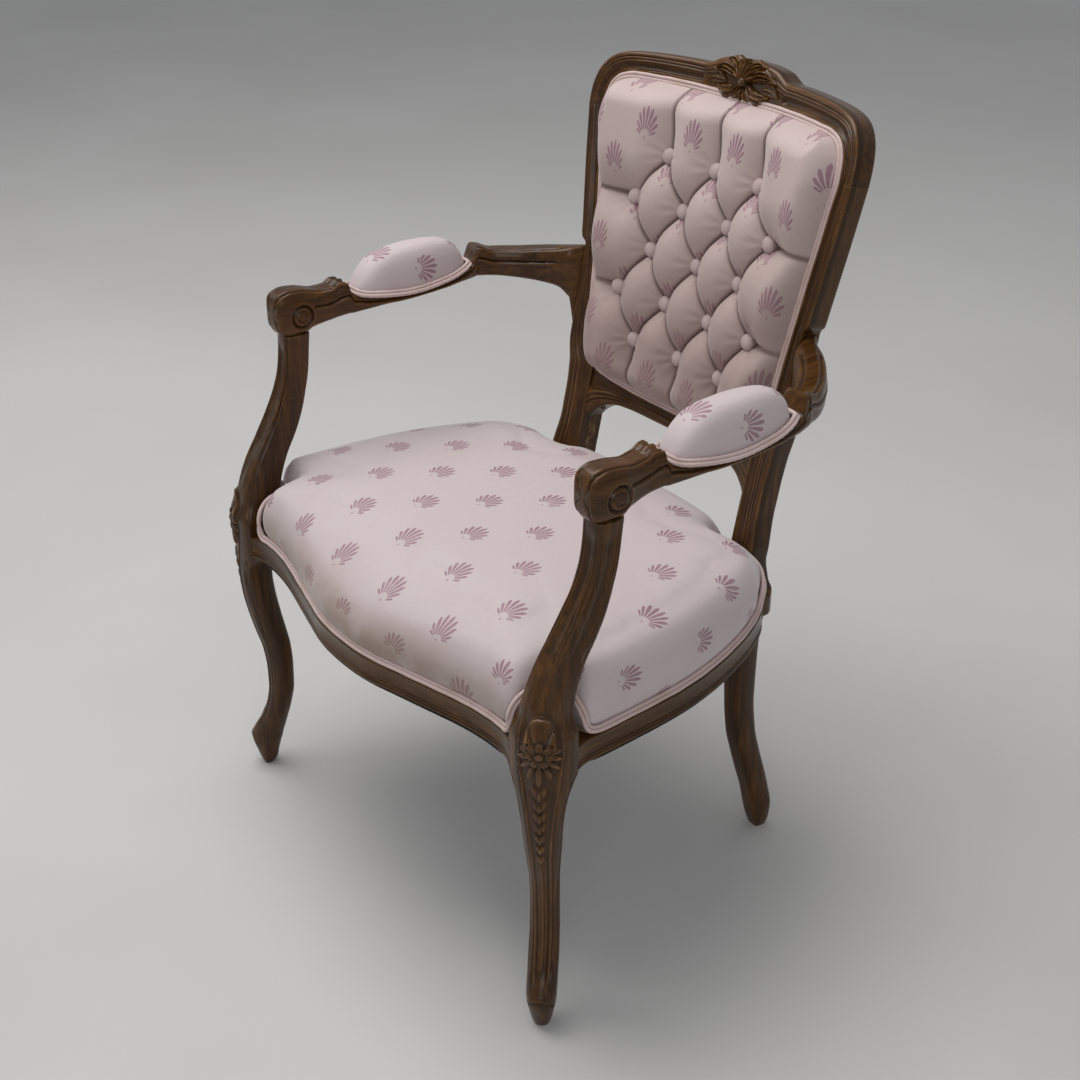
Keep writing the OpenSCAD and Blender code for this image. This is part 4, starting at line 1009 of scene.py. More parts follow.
@dataclass(frozen=True)
class Palette:
    """Finishes of the chair."""

    post: Timber = Timber("walnut upright", Grain.UP)
    rail: Timber = Timber("walnut across", Grain.ACROSS)
    arm: Timber = Timber("walnut lengthwise", Grain.BACK)
    plank: Timber = Timber("walnut, unrubbed", Grain.ACROSS, wear=0.0)
    block: Timber = Timber(
        "beech block", Grain.ACROSS, (0.33, 0.20, 0.10), (0.48, 0.31, 0.17), (0.56, 0.39, 0.23), (0.6, 0.45, 0.3),
        wear=0.2, gloss=0.6, lacquer=0.0,
    )
    dowel: Timber = Timber(
        "beech dowel", Grain.BACK, (0.45, 0.30, 0.17), (0.62, 0.45, 0.27), (0.68, 0.52, 0.34), (0.7, 0.55, 0.4),
        wear=0.2, gloss=0.65, lacquer=0.0,
    )
    seat: Satin = Satin("shell satin, seat", front_stain_and_shade=0.85)
    # Painted shade: the back's ground is a darker, warmer copy of the seat's satin.
    back: Satin = Satin(
        "shell satin, back", 76.0, 49.5, 38.0, (-30.0, 868.0), ground=(0.535, 0.425, 0.405), slim=1.45, darkened=0.70
    )
    pads: Satin = Satin("shell satin, pads", 84.0, 55.0, 43.0, (-1.0, -52.0))
    # Painted shade: the buttons' ground is a darker copy of the same satin.
    buttons: Satin = Satin("shell satin, buttons", ground=(0.49, 0.385, 0.37), fans=0.0)
    plain: Weave = Weave("plain back cloth", "plain_fabric", (0.58, 0.45, 0.44), (0.47, 0.35, 0.34), 0.0016, 0.75)
    piping: Piping = Piping()
    jute: Weave = Weave("jute webbing", "jute_webbing", (0.50, 0.38, 0.21), (0.26, 0.18, 0.09), 0.0036, 0.9, 0.3)
    burlap: Weave = Weave("burlap", "burlap", (0.42, 0.30, 0.16), (0.17, 0.11, 0.05), 0.0028, 0.95, 0.3)
    dust: Weave = Weave("black dust cloth", "dust_fabric", (0.030, 0.028, 0.027), (0.012, 0.011, 0.011), 0.0012, 0.9)
    foam: Foam = Foam()
    steel: Steel = Steel()


# ---------------------------------------------------------------- the frame


@dataclass
class FrontPosts:
    """Front legs, blocks and arm supports, each cut in one piece, with a carved knee."""

    finish: Timber
    leg_w: float = 33.0
    foot_out: float = 9.5
    block_rise: float = 14.0
    columns: int = 120
    flower_z: float = 380.0
    relief: float = 0.85
    legs: tuple = (
        (0.000, 0.02, 0.20, 0.20, 0.26), (0.024, 0.00, 0.35, 0.34, 0.35), (0.060, 0.02, 0.46, 0.45, 0.43),
        (0.100, 0.03, 0.58, 0.57, 0.50), (0.138, -0.01, 0.66, 0.65, 0.53), (0.180, -0.18, 0.62, 0.61, 0.53),
        (0.230, -0.42, 0.54, 0.53, 0.53), (0.298, -0.66, 0.49, 0.49, 0.52), (0.382, -0.80, 0.51, 0.51, 0.51),
        (0.470, -0.81, 0.53, 0.53, 0.50), (0.560, -0.73, 0.57, 0.57, 0.51), (0.635, -0.55, 0.61, 0.61, 0.56),
        (0.720, -0.35, 0.63, 0.63, 0.63), (0.805, -0.20, 0.64, 0.64, 0.68), (0.885, -0.13, 0.66, 0.66, 0.78),
        (0.940, -0.18, 0.76, 0.76, 0.90), (0.975, -0.30, 0.88, 0.90, 1.02),
    )
    arms: tuple = (
        (0.13, 0.04, 0.88, 0.96), (0.23, 0.13, 0.80, 0.94), (0.34, 0.28, 0.73, 0.93), (0.45, 0.49, 0.68, 0.92),
        (0.57, 0.69, 0.655, 0.84), (0.68, 0.83, 0.635, 0.73), (0.79, 0.93, 0.635, 0.67), (0.90, 0.975, 0.64, 0.65),
        (1.00, 1.00, 0.66, 0.67),
    )
    line_places: tuple = (
        (40, 8.5), (120, 9.0), (190, 9.5), (235, 10.5), (270, 12.5), (310, 17.0), (345, 24.0), (371, 28.0), (400, 27.0),
        (428, 26.0), (470, 26.0),
    )

    def table(self) -> list[tuple[float, ...]]:
        """Rows of the post: height, place, three reaches, two powers and two stretches.

        Returns:
            The rows, from the floor up.
        """
        c, half = CHAIR, CHAIR.post_half
        wide = half * math.sqrt(2)
        rows = []
        for z, off, out, back, w in self.legs:
            s = off * self.leg_w / math.sqrt(2)
            knee = min(max((z - 0.8) / 0.175, 0), 1)
            rows.append((z * c.rail_low, c.front_half + self.foot_out + s, -self.foot_out - s,
                         out * self.leg_w, back * self.leg_w, w * self.leg_w, 2 - 0.5 * knee, 1.6 - 0.6 * knee, 1, 1))
        for z in (c.rail_low, c.rail_top, c.rail_top + self.block_rise):
            rows.append((z, c.front_half, 0, wide * 0.93, wide, wide, 1.4, 1, 1, 1))
        low = c.rail_top + self.block_rise
        k = 1.18 * half
        for z, sweep, kx, ky in self.arms:
            rows.append((low + z * (c.arm_seam - low), c.front_half + (c.arm_half - c.front_half) * sweep,
                         c.post_sweep * sweep, k, k, k, 1.35, 1.35, kx, ky))
        return rows

    def grid(self) -> tuple[Array, Array, Array]:
        """Bare rings, with each point's distance round from the front corner.

        Returns:
            The rings, each point's distance round, and the length of its ring.
        """
        c = CHAIR
        z = np.concatenate(
            [np.linspace(0, 200, 78)[:-1], np.linspace(200, 432, 200)[:-1], np.linspace(432, c.arm_seam, 80)]
        )
        cx, cy, out, back, w, po, pi, kx, ky = (v[:, None] for v in faired(self.table(), z).T)
        a = np.linspace(0, 2 * math.pi, 720, endpoint=False)[None]
        ca, sa = np.cos(a), np.sin(a)
        p = np.where(ca >= 0, po, pi)
        u = np.sign(ca) * np.abs(ca) ** (2 / p) * np.where(ca >= 0, out, back)
        v = np.sign(sa) * np.abs(sa) ** (2 / p) * w
        fine = np.stack([cx + kx * (u + v) / math.sqrt(2), cy + ky * (v - u) / math.sqrt(2), z[:, None] + 0 * u], -1)
        t = np.arange(self.columns) / self.columns
        shares = t - 0.45 * np.sin(2 * math.pi * t) / (2 * math.pi)
        rings = np.stack([respaced(r, shares) for r in fine])
        length = np.linalg.norm(np.roll(fine, -1, axis=1) - fine, axis=2).sum(axis=1)
        round_ = np.where(shares < 0.5, shares, shares - 1)[None] * length[:, None]
        return rings, round_, length[:, None] + 0 * round_

    def lines(self, off: Array, z: Array, length: Array) -> Array:
        """Height of the edge lines, the sunk ground between them and the arm support's flutes.

        Args:
            off: distance from the front corner.
            z: height above the floor.
            length: length of the ring that the point is on.

        Returns:
            The height.
        """
        side = np.interp(z, *np.transpose(self.line_places))
        shown = eased(z, 45, 80) * (1 - eased(z, 385, 420))
        line = bead(off - side, 1.5, 1.1) + gouge(off - side - 2.4, 0.9, 1.3) + gouge(off - side + 2.4, 1.0, 1.4)
        ground = -1.2 * eased(side - 2.0 - off, 0.0, 2.5) * eased(z, 215, 250) * (1 - eased(z, 400, 450))
        rim = off - length / 4
        edge = gouge(rim + 3.4, 0.9, 1.1) + gouge(rim + 6.6, 0.9, 0.9) + bead(rim + 5.0, 1.3, 0.5)
        above = eased(z, 432, 500) * (1 - eased(z, 588, 612))
        span = np.clip((off - 5) / np.maximum(length / 4 - 13, 4), 0, 1)
        corner = gouge(off - 4.0, 1.0, 1.7) + gouge(off - 7.6, 0.9, 1.3)
        flute = (corner - 3.6 * np.sin(math.pi * span) ** 1.1) * above
        petal = np.clip(1 - ((z - 452) / 34) ** 2 - ((off - 9) / 8) ** 2, 0, 1)
        height = line * shown + ground + edge * eased(z, 60, 100) * (1 + 0.8 * above)
        return height + flute - 1.6 * petal * eased(z, 418, 440)

    def flower(self, height: Array, s: Array, up: Array) -> Array:
        """Carves the flower with the shell over it and the blades under it.

        Args:
            height: height so far.
            s: distance round from the front corner.
            up: height above the flower's middle.

        Returns:
            The new height.
        """
        r, turn, off = np.hypot(s, up), np.arctan2(s, up), np.abs(s)
        arch = np.clip((up - 4) / 36, 0, 1)
        reach = 18.5 * np.sqrt(np.clip(1 - arch**2, 0, 1))
        fan = 0.1 + 3.0 * np.abs(np.cos(np.arctan2(s, up + 2) * 3.6)) ** 0.6
        height = np.where((up > 2) & (up < 40) & (off < reach) & (r > 12), fan * eased(r, 12, 17), height)
        height = height + bead(np.where(up > 4, np.hypot(s * 36 / 18.5, up - 4) - 37.5, 99), 2.4, 1.6)
        for k in range(9):
            lean = (k - 4) * 0.42
            gap = (turn - math.pi - lean + math.pi) % (2 * math.pi) - math.pi
            long = 34 - 3.2 * abs(k - 4)
            along, across = r * np.cos(gap), r * np.sin(gap)
            half = long / 2
            blade = np.clip(1 - ((along - half - 4) / half) ** 2 - (across / (1.9 + 0.06 * along)) ** 2, 0, 1)
            height = np.maximum(height, np.where(blade > 0, 2.6 * np.sqrt(blade), -9))
        for k in range(7):
            gap = (turn - k * 2 * math.pi / 7 + math.pi) % (2 * math.pi) - math.pi
            along, across = r * np.cos(gap), r * np.sin(gap)
            dome = np.clip(1 - ((along - 10.0) / 7.6) ** 2 - (across / 4.4) ** 2, 0, 1)
            height = np.where(dome > 0, 4.4 * np.sqrt(dome) - 1.5 * np.exp(-((across / 0.9) ** 2)), height)
        return np.where(r < 5.4, bead(r, 5.4, 5.2) - gouge(r - 4.9, 0.6, -0.8), height)

    def husks(self, height: Array, s: Array, z: Array) -> Array:
        """Carves the string of husks down the leg, the ridge under it and the cuff over the foot.

        Args:
            height: height so far.
            s: distance round from the front corner.
            z: height above the floor.

        Returns:
            The new height.
        """
        off = np.abs(s)
        for k in range(7):
            mid, long, wide = 331 - 15.5 * k, 10.0 - 0.7 * k, 7.2 - 0.55 * k
            lean = off - 0.5 * wide - 0.28 * (z - mid)
            leaf = np.clip(1 - ((z - mid) / long) ** 2 - (lean / (0.62 * wide)) ** 2, 0, 1)
            pod = np.clip(1 - ((z - mid + 3) / (0.8 * long)) ** 2 - (s / (0.36 * wide)) ** 2, 0, 1)
            height = np.where(leaf > 0, 3.0 * np.sqrt(leaf) - 1.2, height)
            height = np.where(pod > 0, 3.6 * np.sqrt(pod) - 0.6, height)
        ridge = bead(off, 1.7, 1.7) * eased(z, 62, 90) * (1 - eased(z, 215, 232))
        cuff = gouge(z - 44 + 0.03 * s**2, 1.6, 1.8) + bead(z - 48 + 0.03 * s**2, 2.6, 1.0)
        return height + ridge + cuff * (1 - eased(off, 16, 24))

    def build(self) -> None:
        """Makes both posts."""
        rings, s, length = self.grid()
        z = rings[..., 2]
        height = self.flower(self.lines(np.abs(s), z, length), s, z - self.flower_z)
        height = self.husks(height, s, z)
        carved = relieved(rings, height * self.relief)
        carved[..., 2] = np.clip(carved[..., 2], 0, CHAIR.arm_seam)
        for side, name in SIDES:
            skin = Skin().rings(carved, cut=standing(height))
            skin.piece(f"front_post_{name}_carved", self.finish, f"front_post_{name}", side)


@dataclass
class Moulding:
    """Section of the back's frame: share across the face, share of the depth, and tongue under the cushion."""

    face: int = 46

    def ring(self) -> tuple[Array, Array, Array, Array]:
        """Shares across, shares of the depth, tongue shares and face marks of the section's points.

        Returns:
            The four arrays, in step.
        """
        turn = np.linspace(0, math.pi / 2, 6)[1:-1]
        front, rear = CHAIR.ledge_front / CHAIR.back_t, CHAIR.ledge_back / CHAIR.back_t
        s = np.linspace(0, 1, self.face) ** 0.96
        parts = [(v, 0.0, 0.0, 1.0) for v in s]
        parts += [(1.0, v, 0.0, 0.0) for v in (0.4, 0.55, 0.7, 0.86)]
        parts += [(0.93 + 0.07 * math.cos(a), 0.86 + 0.14 * math.sin(a), 0.0, 0.0) for a in turn]
        parts += [(v, 1.0, 0.0, 0.0) for v in (0.93, 0.75, 0.5, 0.25, 0.06)]
        parts += [(0.0, v, 0.0, 0.0) for v in (0.97, 0.85, rear + 0.01)]
        parts += [(0.0, rear, v, 0.0) for v in (0.0, 0.5, 1.0)]
        parts += [(0.0, front, v, 0.0) for v in (1.0, 0.5, 0.0)]
        parts += [(0.0, v, 0.0, 0.0) for v in (0.2, 0.05)]
        return tuple(np.array(parts).T)

    def profile(self, s: Array, width: Array, cove: Array, roll: float = 7.5) -> Array:
        """How far the face is cut back.

        Args:
            s: shares across the face, from its inner edge.
            width: width of the face.
            cove: how much of the hollow there is, from 0 to 1.
            roll: fall of the outer edge.

        Returns:
            Depth in millimetres.
        """
        at = s * width
        lip = np.minimum(3.0, 0.14 * width)
        wide = 0.46 * width
        u = np.clip((at - lip) / np.maximum(wide - lip, 1), 0, 1)
        depth = cove * 3.4 * np.sin(math.pi * u) ** 0.7
        depth = depth - bead(at - lip * 0.5, 1.9, 0.7) * cove
        for share, cut in ((0.47, 1.1), (0.60, 1.0), (0.745, 1.2)):
            depth = depth - gouge(at - share * width, 0.85, cut) * (0.35 + 0.65 * cove)
        depth = depth - bead(at - 0.535 * width, 1.9, 0.7) - bead(at - 0.672 * width, 1.9, 0.6)
        out = np.clip((s - 0.76) / 0.24, 0, 1)
        return depth + roll * (1 - np.sqrt(np.clip(1 - out**2, 0, 1)))


@dataclass
class RearPosts:
    """Rear legs and back stiles, each cut in one piece."""

    finish: Timber
    section: Moulding
    leg_w: float = 32.0
    leg_power: float = 4.0
    foot_out: float = 22.0
    foot_back: float = 25.0
    opens_at: float = 524.0
    legs: tuple = (
        (0.000, 1.00, 0.28, 0.28), (0.035, 0.97, 0.39, 0.39), (0.088, 0.92, 0.47, 0.47), (0.180, 0.74, 0.485, 0.485),
        (0.246, 0.56, 0.50, 0.50), (0.337, 0.31, 0.50, 0.50), (0.428, 0.10, 0.50, 0.50), (0.587, -0.04, 0.50, 0.50),
        (0.762, -0.06, 0.53, 0.53), (0.909, -0.02, 0.61, 0.545), (0.982, 0.00, 0.80, 0.56),
    )
    outer: tuple = (
        (418.9, 0.862), (462.0, 0.838), (495.5, 0.838), (524.3, 0.846), (565.0, 0.870), (681.8, 0.870),
        (689.0, 0.904), (708.2, 0.917), (742.7, 0.939), (787.7, 0.967), (850.0, 1.000),
    )

    def leg_ring(self, x: float, y: float, half_w: float, half_d: float, z: float) -> Array:
        """Level ring of the leg, with corners rounded by a power.

        Args:
            x: middle, across.
            y: middle, front to rear.
            half_w: half width.
            half_d: half depth.
            z: height.

        Returns:
            Points of the ring.
        """
        s, e, tongue, _ = self.section.ring()
        u, v = 2 * s - 1, 2 * e - 1
        edge, power = np.maximum(np.abs(u), np.abs(v)), self.leg_power
        k = (np.abs(u) ** power + np.abs(v) ** power + 1e-9) ** (-1 / power) * edge
        return np.stack([x + half_w * u * k - 0.15 * tongue, y + half_d * v * k, 0 * u + z, 0 * u], -1)

    def block_ring(self, out: float, z: float, rear_round: float) -> Array:
        """Level ring of the block: square, but for its outer rear corner.

        Args:
            out: reach of the outer face.
            z: height.
            rear_round: radius of the outer rear corner.

        Returns:
            Points of the ring.
        """
        c = CHAIR
        s, e, tongue, _ = self.section.ring()
        x, y = c.rear_in + (out - c.rear_in) * s - 0.15 * tongue, c.rear_front + c.rear_post_t * e
        for sx, sy, r in ((1, 1, rear_round), (1, -1, 5.0), (-1, -1, 5.0), (-1, 1, 5.0)):
            mx, my = (out if sx > 0 else c.rear_in) - sx * r, (c.rear_back if sy > 0 else c.rear_front) - sy * r
            dx, dy = (x - mx) * sx, (y - my) * sy
            inside = (dx > 0) & (dy > 0)
            k = np.where(inside, np.maximum(dx, dy) / np.maximum(np.hypot(dx, dy), 1e-6), 1)
            x, y = np.where(inside, mx + sx * dx * k, x), np.where(inside, my + sy * dy * k, y)
        return np.stack([x, y, 0 * x + z, 0 * x], -1)

    def stile_ring(self, height: float, out_share: float) -> Array:
        """Leaning ring of the stile, with its mouldings and rabbets.

        Args:
            height: height of the ring at the face.
            out_share: reach of its outer edge, as a share of half the width over the shoulders.

        Returns:
            Points of the ring, with their marks.
        """
        c = CHAIR
        s, e, tongue, face = self.section.ring()
        x_end, stile, t = out_share * c.shoulder_half, c.stile_in, c.along(height)
        x_open = max(stile, float(opening_width(t))) if height > self.opens_at else stile
        x_tongue = max(stile, x_open - c.ledge_w)
        cove = float(eased(np.array(height), 405, 455))
        cut = self.section.profile(s, np.array(x_end - x_open), np.array(cove))
        x = x_open + s * (x_end - x_open) - tongue * max(x_open - x_tongue, 0.15)
        return np.concatenate([c.back(x, t, c.back_t * e + face * cut), (face * crisp(cut))[:, None]], 1)

    def grid(self) -> Array:
        """Rings from the foot to the crest joint.

        Returns:
            The rings, with a mark at each point.
        """
        c = CHAIR
        top_x, set_back = c.rear_in + self.leg_w * 0.82, c.rear_post_t * 0.18
        keys, rings = [], []
        for z, throw, hw, hd in self.legs:
            keys.append(z * c.rail_low)
            rings.append(self.leg_ring(top_x + self.foot_out * throw, c.seat_run + set_back + self.foot_back * throw,
                                       hw * self.leg_w, hd * self.leg_w, keys[-1]))
        for out, z, rear_round in ((c.rear_out, c.rail_low, 28.0), (c.rear_out, c.rail_top - 1, 28.0),
                                   (0.877 * c.shoulder_half, c.rail_top + 4, 5.0)):
            keys.append(z)
            rings.append(self.block_ring(out, z, rear_round))
        heights = np.concatenate([np.arange(405, 560, 3.5), np.arange(560, c.crest_joint, 4.0), [c.crest_joint]])
        shares = faired(self.outer, heights)[:, 0]
        for height, share in zip(heights, shares):
            keys.append(height)
            rings.append(self.stile_ring(float(height), float(share)))
        table = np.concatenate([np.array(keys)[:, None], np.stack(rings).reshape(len(keys), -1)], 1)
        at = np.concatenate([np.arange(0, 400, 3.2), np.array(keys)[np.array(keys) > 400]])
        return faired(table, at).reshape(len(at), -1, 4)

    def build(self) -> None:
        """Makes both posts."""
        grid = self.grid()
        for side, name in SIDES:
            skin = Skin().rings(grid[..., :3], cut=grid[..., 3])
            skin.piece(f"rear_post_{name}_moulded", self.finish, f"rear_post_{name}", side)


@dataclass
class Crest:
    """Crest rail with round shoulders, and the flower and leaves carved in its middle."""

    finish: Timber
    section: Moulding
    flower_z: float = 918.0
    stations: tuple = (
        (228.0, 0.0, 205.6, 0.0), (228.0, 16.8, 204.9, 13.5), (225.7, 33.5, 202.5, 26.0), (219.3, 50.3, 197.0, 36.5),
        (206.3, 64.5, 188.0, 45.3), (187.0, 72.9, 172.0, 50.8), (159.6, 77.5, 148.0, 53.0), (123.1, 80.5, 120.0, 54.6),
        (91.2, 82.3, 91.0, 55.6), (68.4, 83.0, 68.0, 56.0), (58.1, 87.0, 58.0, 56.1), (45.6, 93.0, 45.0, 56.2),
        (22.8, 96.5, 22.8, 56.2), (0.0, 97.3, 0.0, 56.2),
    )
    leaves: tuple = (
        (30, -2, 59, -5, 9.0, 6.0, 4.0, 3), (12, -6, 42, -9, 9.5, 6.5, -6.0, 3), (10, 6, 47, 12, 9.5, 8.0, 5.0, 4),
        (6, 0, 30, -15, 7.5, 7.5, -4.0, 3), (6, 12, 30, 25, 9.0, 8.5, 4.0, 4), (40, 6, 54, 9, 4.5, 6.5, 2.0, 2),
        (3, -8, 13, -19, 5.5, 6.5, -2.0, 2),
    )

    def rail(self) -> None:
        """Makes the rail."""
        c = CHAIR
        half = curved(self.stations, 9)
        rows = np.vstack([half, half[-2::-1] * [-1, 1, -1, 1]])
        s, e, tongue, face = (v[None] for v in self.section.ring())
        xo, to, xi, ti = (rows[:, k : k + 1] for k in range(4))
        width = np.hypot(xo - xi, to - ti)
        cove = eased(np.abs(xi), 66, 72)
        cut = self.section.profile(s, width, cove, 6.5)
        depth = c.back_t * e + face * cut
        inward = tongue * c.ledge_w / width
        x = xi + (xo - xi) * (s - inward)
        t = c.along(c.crest_joint) + ti + (to - ti) * (s - inward)
        skin = Skin().rings(c.back(x, t, depth), cut=face * crisp(cut))
        skin.piece("crest_rail_moulded", self.finish, "crest_rail")

    def leaf(
        self, skin: Skin, root: tuple, tip: tuple, wide: float, rise: float, bend: float, veins: float = 3.0
    ) -> None:
        """Adds one fluted leaf, laid on the back's face.

        Args:
            skin: where it goes.
            root: its foot, across and up.
            tip: its tip.
            wide: its greatest half width.
            rise: its height.
            bend: how far its middle swings sideways.
            veins: flutes along it.
        """
        a, b = np.meshgrid(np.linspace(0, 1, 26), np.linspace(-1, 1, 25), indexing="ij")
        way = np.subtract(tip, root)
        side = np.array([-way[1], way[0]]) / np.linalg.norm(way)
        lobes = 1 + 0.05 * np.cos(2 * math.pi * 3 * a)
        half = wide * np.sin(math.pi * np.clip(0.06 + 0.9 * a, 0, 1) ** 0.9) ** 0.75 * lobes
        swing = bend * np.sin(math.pi * a)
        x, t = (root[k] + way[k] * a + side[k] * (b * half + swing) for k in (0, 1))
        dome = np.sqrt(np.clip(1 - b**2, 0, 1)) * (0.45 + 0.55 * np.sin(math.pi * np.clip(a, 0, 1) ** 0.8))
        flute = 0.30 * np.cos(math.pi * veins * b) * (1 - b**2) * eased(a, 0.0, 0.25)
        top = CHAIR.back(x, t, 1.0 - rise * (dome * (1 + flute) + 0.35 * eased(a, 0.75, 1.0) * (1 - b**2)))
        # The leaf's cut mark paints shade on its rim and in its flutes' grooves, and a highlight on their ridges.
        skin.cloth(top, CHAIR.back(x, t, 2.0), cut=3.2 * flute - 1.6 * eased(np.abs(b), 0.8, 1.0) + 0.5)

    def carving(self) -> None:
        """Makes the flower and its leaves."""
        skin = Skin()
        mid = CHAIR.along(self.flower_z)
        for side in (-1, 1):
            for x0, t0, x1, t1, wide, rise, bend, veins in self.leaves:
                self.leaf(skin, (side * x0, mid + t0), (side * x1, mid + t1), wide, rise, side * bend, veins)
        for k in range(-3, 4):
            a = k * 0.40
            tip = (22 * math.sin(a), mid + 3 + 26 * math.cos(a))
            self.leaf(skin, (2.5 * math.sin(a), mid + 3), tip, 4.3, 9.5 - 0.3 * abs(k), 0.0, 1)
        self.leaf(skin, (0, mid - 4), (0, mid - 20), 5.5, 7.5, 0.0, 2)
        u, v = np.meshgrid(np.linspace(math.pi / 2, 0, 8), np.linspace(0, 2 * math.pi, 21)[:-1], indexing="ij")
        wide = 6.0 * np.sin(u)
        boss = CHAIR.back(wide * np.cos(v), mid + 2 + wide * np.sin(v), -5.0 - 5.5 * np.cos(u))
        # The boss's cut mark paints shade round its foot and a highlight on its top.
        skin.rings(boss, cut=0.8 - 2.0 * np.sin(u) ** 6)
        skin.piece("crest_flower_and_leaves", self.finish, "crest_carving", sharp=80)

    def build(self) -> None:
        """Makes the rail and its carving."""
        self.rail()
        self.carving()


@dataclass
class LowerBackRail:
    """Arched rail under the back's cushion."""

    finish: Timber
    section: Moulding
    reach: float = 72.0
    rows: tuple = (
        (0.00, 0.00), (0.25, 0.00), (0.50, 0.01), (0.66, 0.00), (0.80, -0.07), (0.90, -0.19), (0.96, -0.30),
        (1.00, -0.42),
    )

    def build(self) -> None:
        """Makes the rail."""
        c = CHAIR
        share = np.linspace(0, 1, 40)
        under = c.along(c.lower_rail_low) + self.reach * faired(self.rows, share)[:, 0]
        x = share * c.stile_in
        over = c.along(c.opening_low) + opening_rise(x)
        x, under, over = (np.concatenate([k * v[:0:-1], v])[:, None] for v, k in ((x, -1), (under, 1), (over, 1)))
        s, e, tongue, face = (v[None] for v in self.section.ring())
        cut = self.section.profile(s, over - under, np.array(1.0), 5.0)
        depth = c.back_t * e + face * cut
        t = over + (under - over) * s + tongue * c.ledge_w
        skin = Skin().rings(c.back(x + 0 * s, t, depth), cut=face * crisp(cut))
        skin.piece("lower_back_rail_moulded", self.finish, "lower_back_rail")


@dataclass
class SeatRails:
    """Serpentine front rail and bowed side rails, with two lines near the lower edge."""

    finish_front: Timber
    finish_side: Timber
    front: tuple = ((0.00, 1.00), (0.18, 0.92), (0.36, 0.57), (0.52, 0.27), (0.67, -0.02), (0.80, -0.17),
                    (0.90, -0.19), (0.96, -0.12), (1.00, 0.00))
    side: tuple = ((0.000, 1.000), (0.055, 0.950), (0.185, 0.925), (0.355, 0.885), (0.475, 0.835), (0.620, 0.718),
                   (0.771, 0.534), (0.880, 0.350), (0.950, 0.190), (1.000, 0.000))
    thick: tuple = (0.83, 0.634, 0.614, 0.654, 0.714, 0.785, 0.888, 0.932, 1.35, 1.50)

    def front_line(self, steps: int) -> Array:
        """Outer line of the front rail's right half."""
        return curved(self.front, steps) * [CHAIR.front_in, -CHAIR.front_bow] + [0, -CHAIR.post_half]

    def side_line(self, steps: int) -> Array:
        """Outer line of the right rail, from front to rear.

        Args:
            steps: parts between two rows of its table.

        Returns:
            Points of the line.
        """
        c = CHAIR
        rows = curved(self.side, steps)
        return np.stack([c.rear_out + rows[:, 1] * (c.front_out - c.rear_out),
                         c.post_half + rows[:, 0] * (c.rear_front - c.post_half)], 1)

    def rings(self, outer: Array, inner: Array) -> tuple[Array, Array]:
        """Rings of a rail between its outer and inner lines, and their carved height.

        Args:
            outer: points of the outer line.
            inner: points of the inner line.

        Returns:
            The rings and the height.
        """
        c = CHAIR
        up = np.linspace(1.0, 0.10, 44)
        z = up * c.rail_h
        cut = 0.9 * np.clip(1 - ((up - 0.66) / 0.30) ** 2, 0, 1) + 1.2 * np.clip((up - 0.93) / 0.07, 0, 1) ** 2
        cut = cut - gouge(z - 9.6, 0.8, 1.1) - gouge(z - 6.3, 0.7, 0.9)
        cut = cut - bead(z - 8.0, 1.1, 0.5) - bead(z - 3.6, 2.2, 0.8)
        turn = np.linspace(0, math.pi / 2, 7)
        face = np.array([*zip(cut, up), *((3.0 - 3.0 * math.cos(a), 0.10 - 0.10 * math.sin(a)) for a in turn[1:])])
        wide = np.linalg.norm(inner - outer, axis=1)[:, None]
        more = np.array([(0.5, 0.0), (0.93, 0.0), (1.0, 0.06), (1.0, 0.5), (1.0, 1.0), (0.5, 1.0)])
        ins = np.concatenate([face[None, :, 0] / wide, more[None, :, 0] + 0 * wide], 1)
        ups = np.concatenate([face[:, 1], more[:, 1]])[None] + 0 * ins
        flat = outer[:, None] + (inner - outer)[:, None] * ins[..., None]
        marks = np.broadcast_to(np.pad(crisp(cut), (0, ins.shape[1] - len(cut))), ins.shape)
        return np.concatenate([flat, (c.rail_low + ups * c.rail_h)[..., None]], 2), marks

    def build(self) -> None:
        """Makes the three rails."""
        c = CHAIR
        half = self.front_line(8)
        outer = np.vstack([half[:0:-1] * [-1, 1], half])
        inner = np.stack([outer[:, 0], np.minimum(outer[:, 1] + c.rail_t * 1.4, c.rail_t - c.post_half)], 1)
        rings, marks = self.rings(outer, inner)
        Skin().rings(rings, cut=marks).piece("front_seat_rail_shaped", self.finish_front, "front_seat_rail")
        outer = self.side_line(8)
        inner = outer - np.stack([c.rail_t * curved([(v,) for v in self.thick], 8)[:, 0], 0 * outer[:, 0]], 1)
        rings, marks = self.rings(outer, inner)
        for side, name in SIDES:
            node = f"side_seat_rail_{name}"
            Skin().rings(rings, cut=marks).piece(f"{node}_shaped", self.finish_side, node, side)


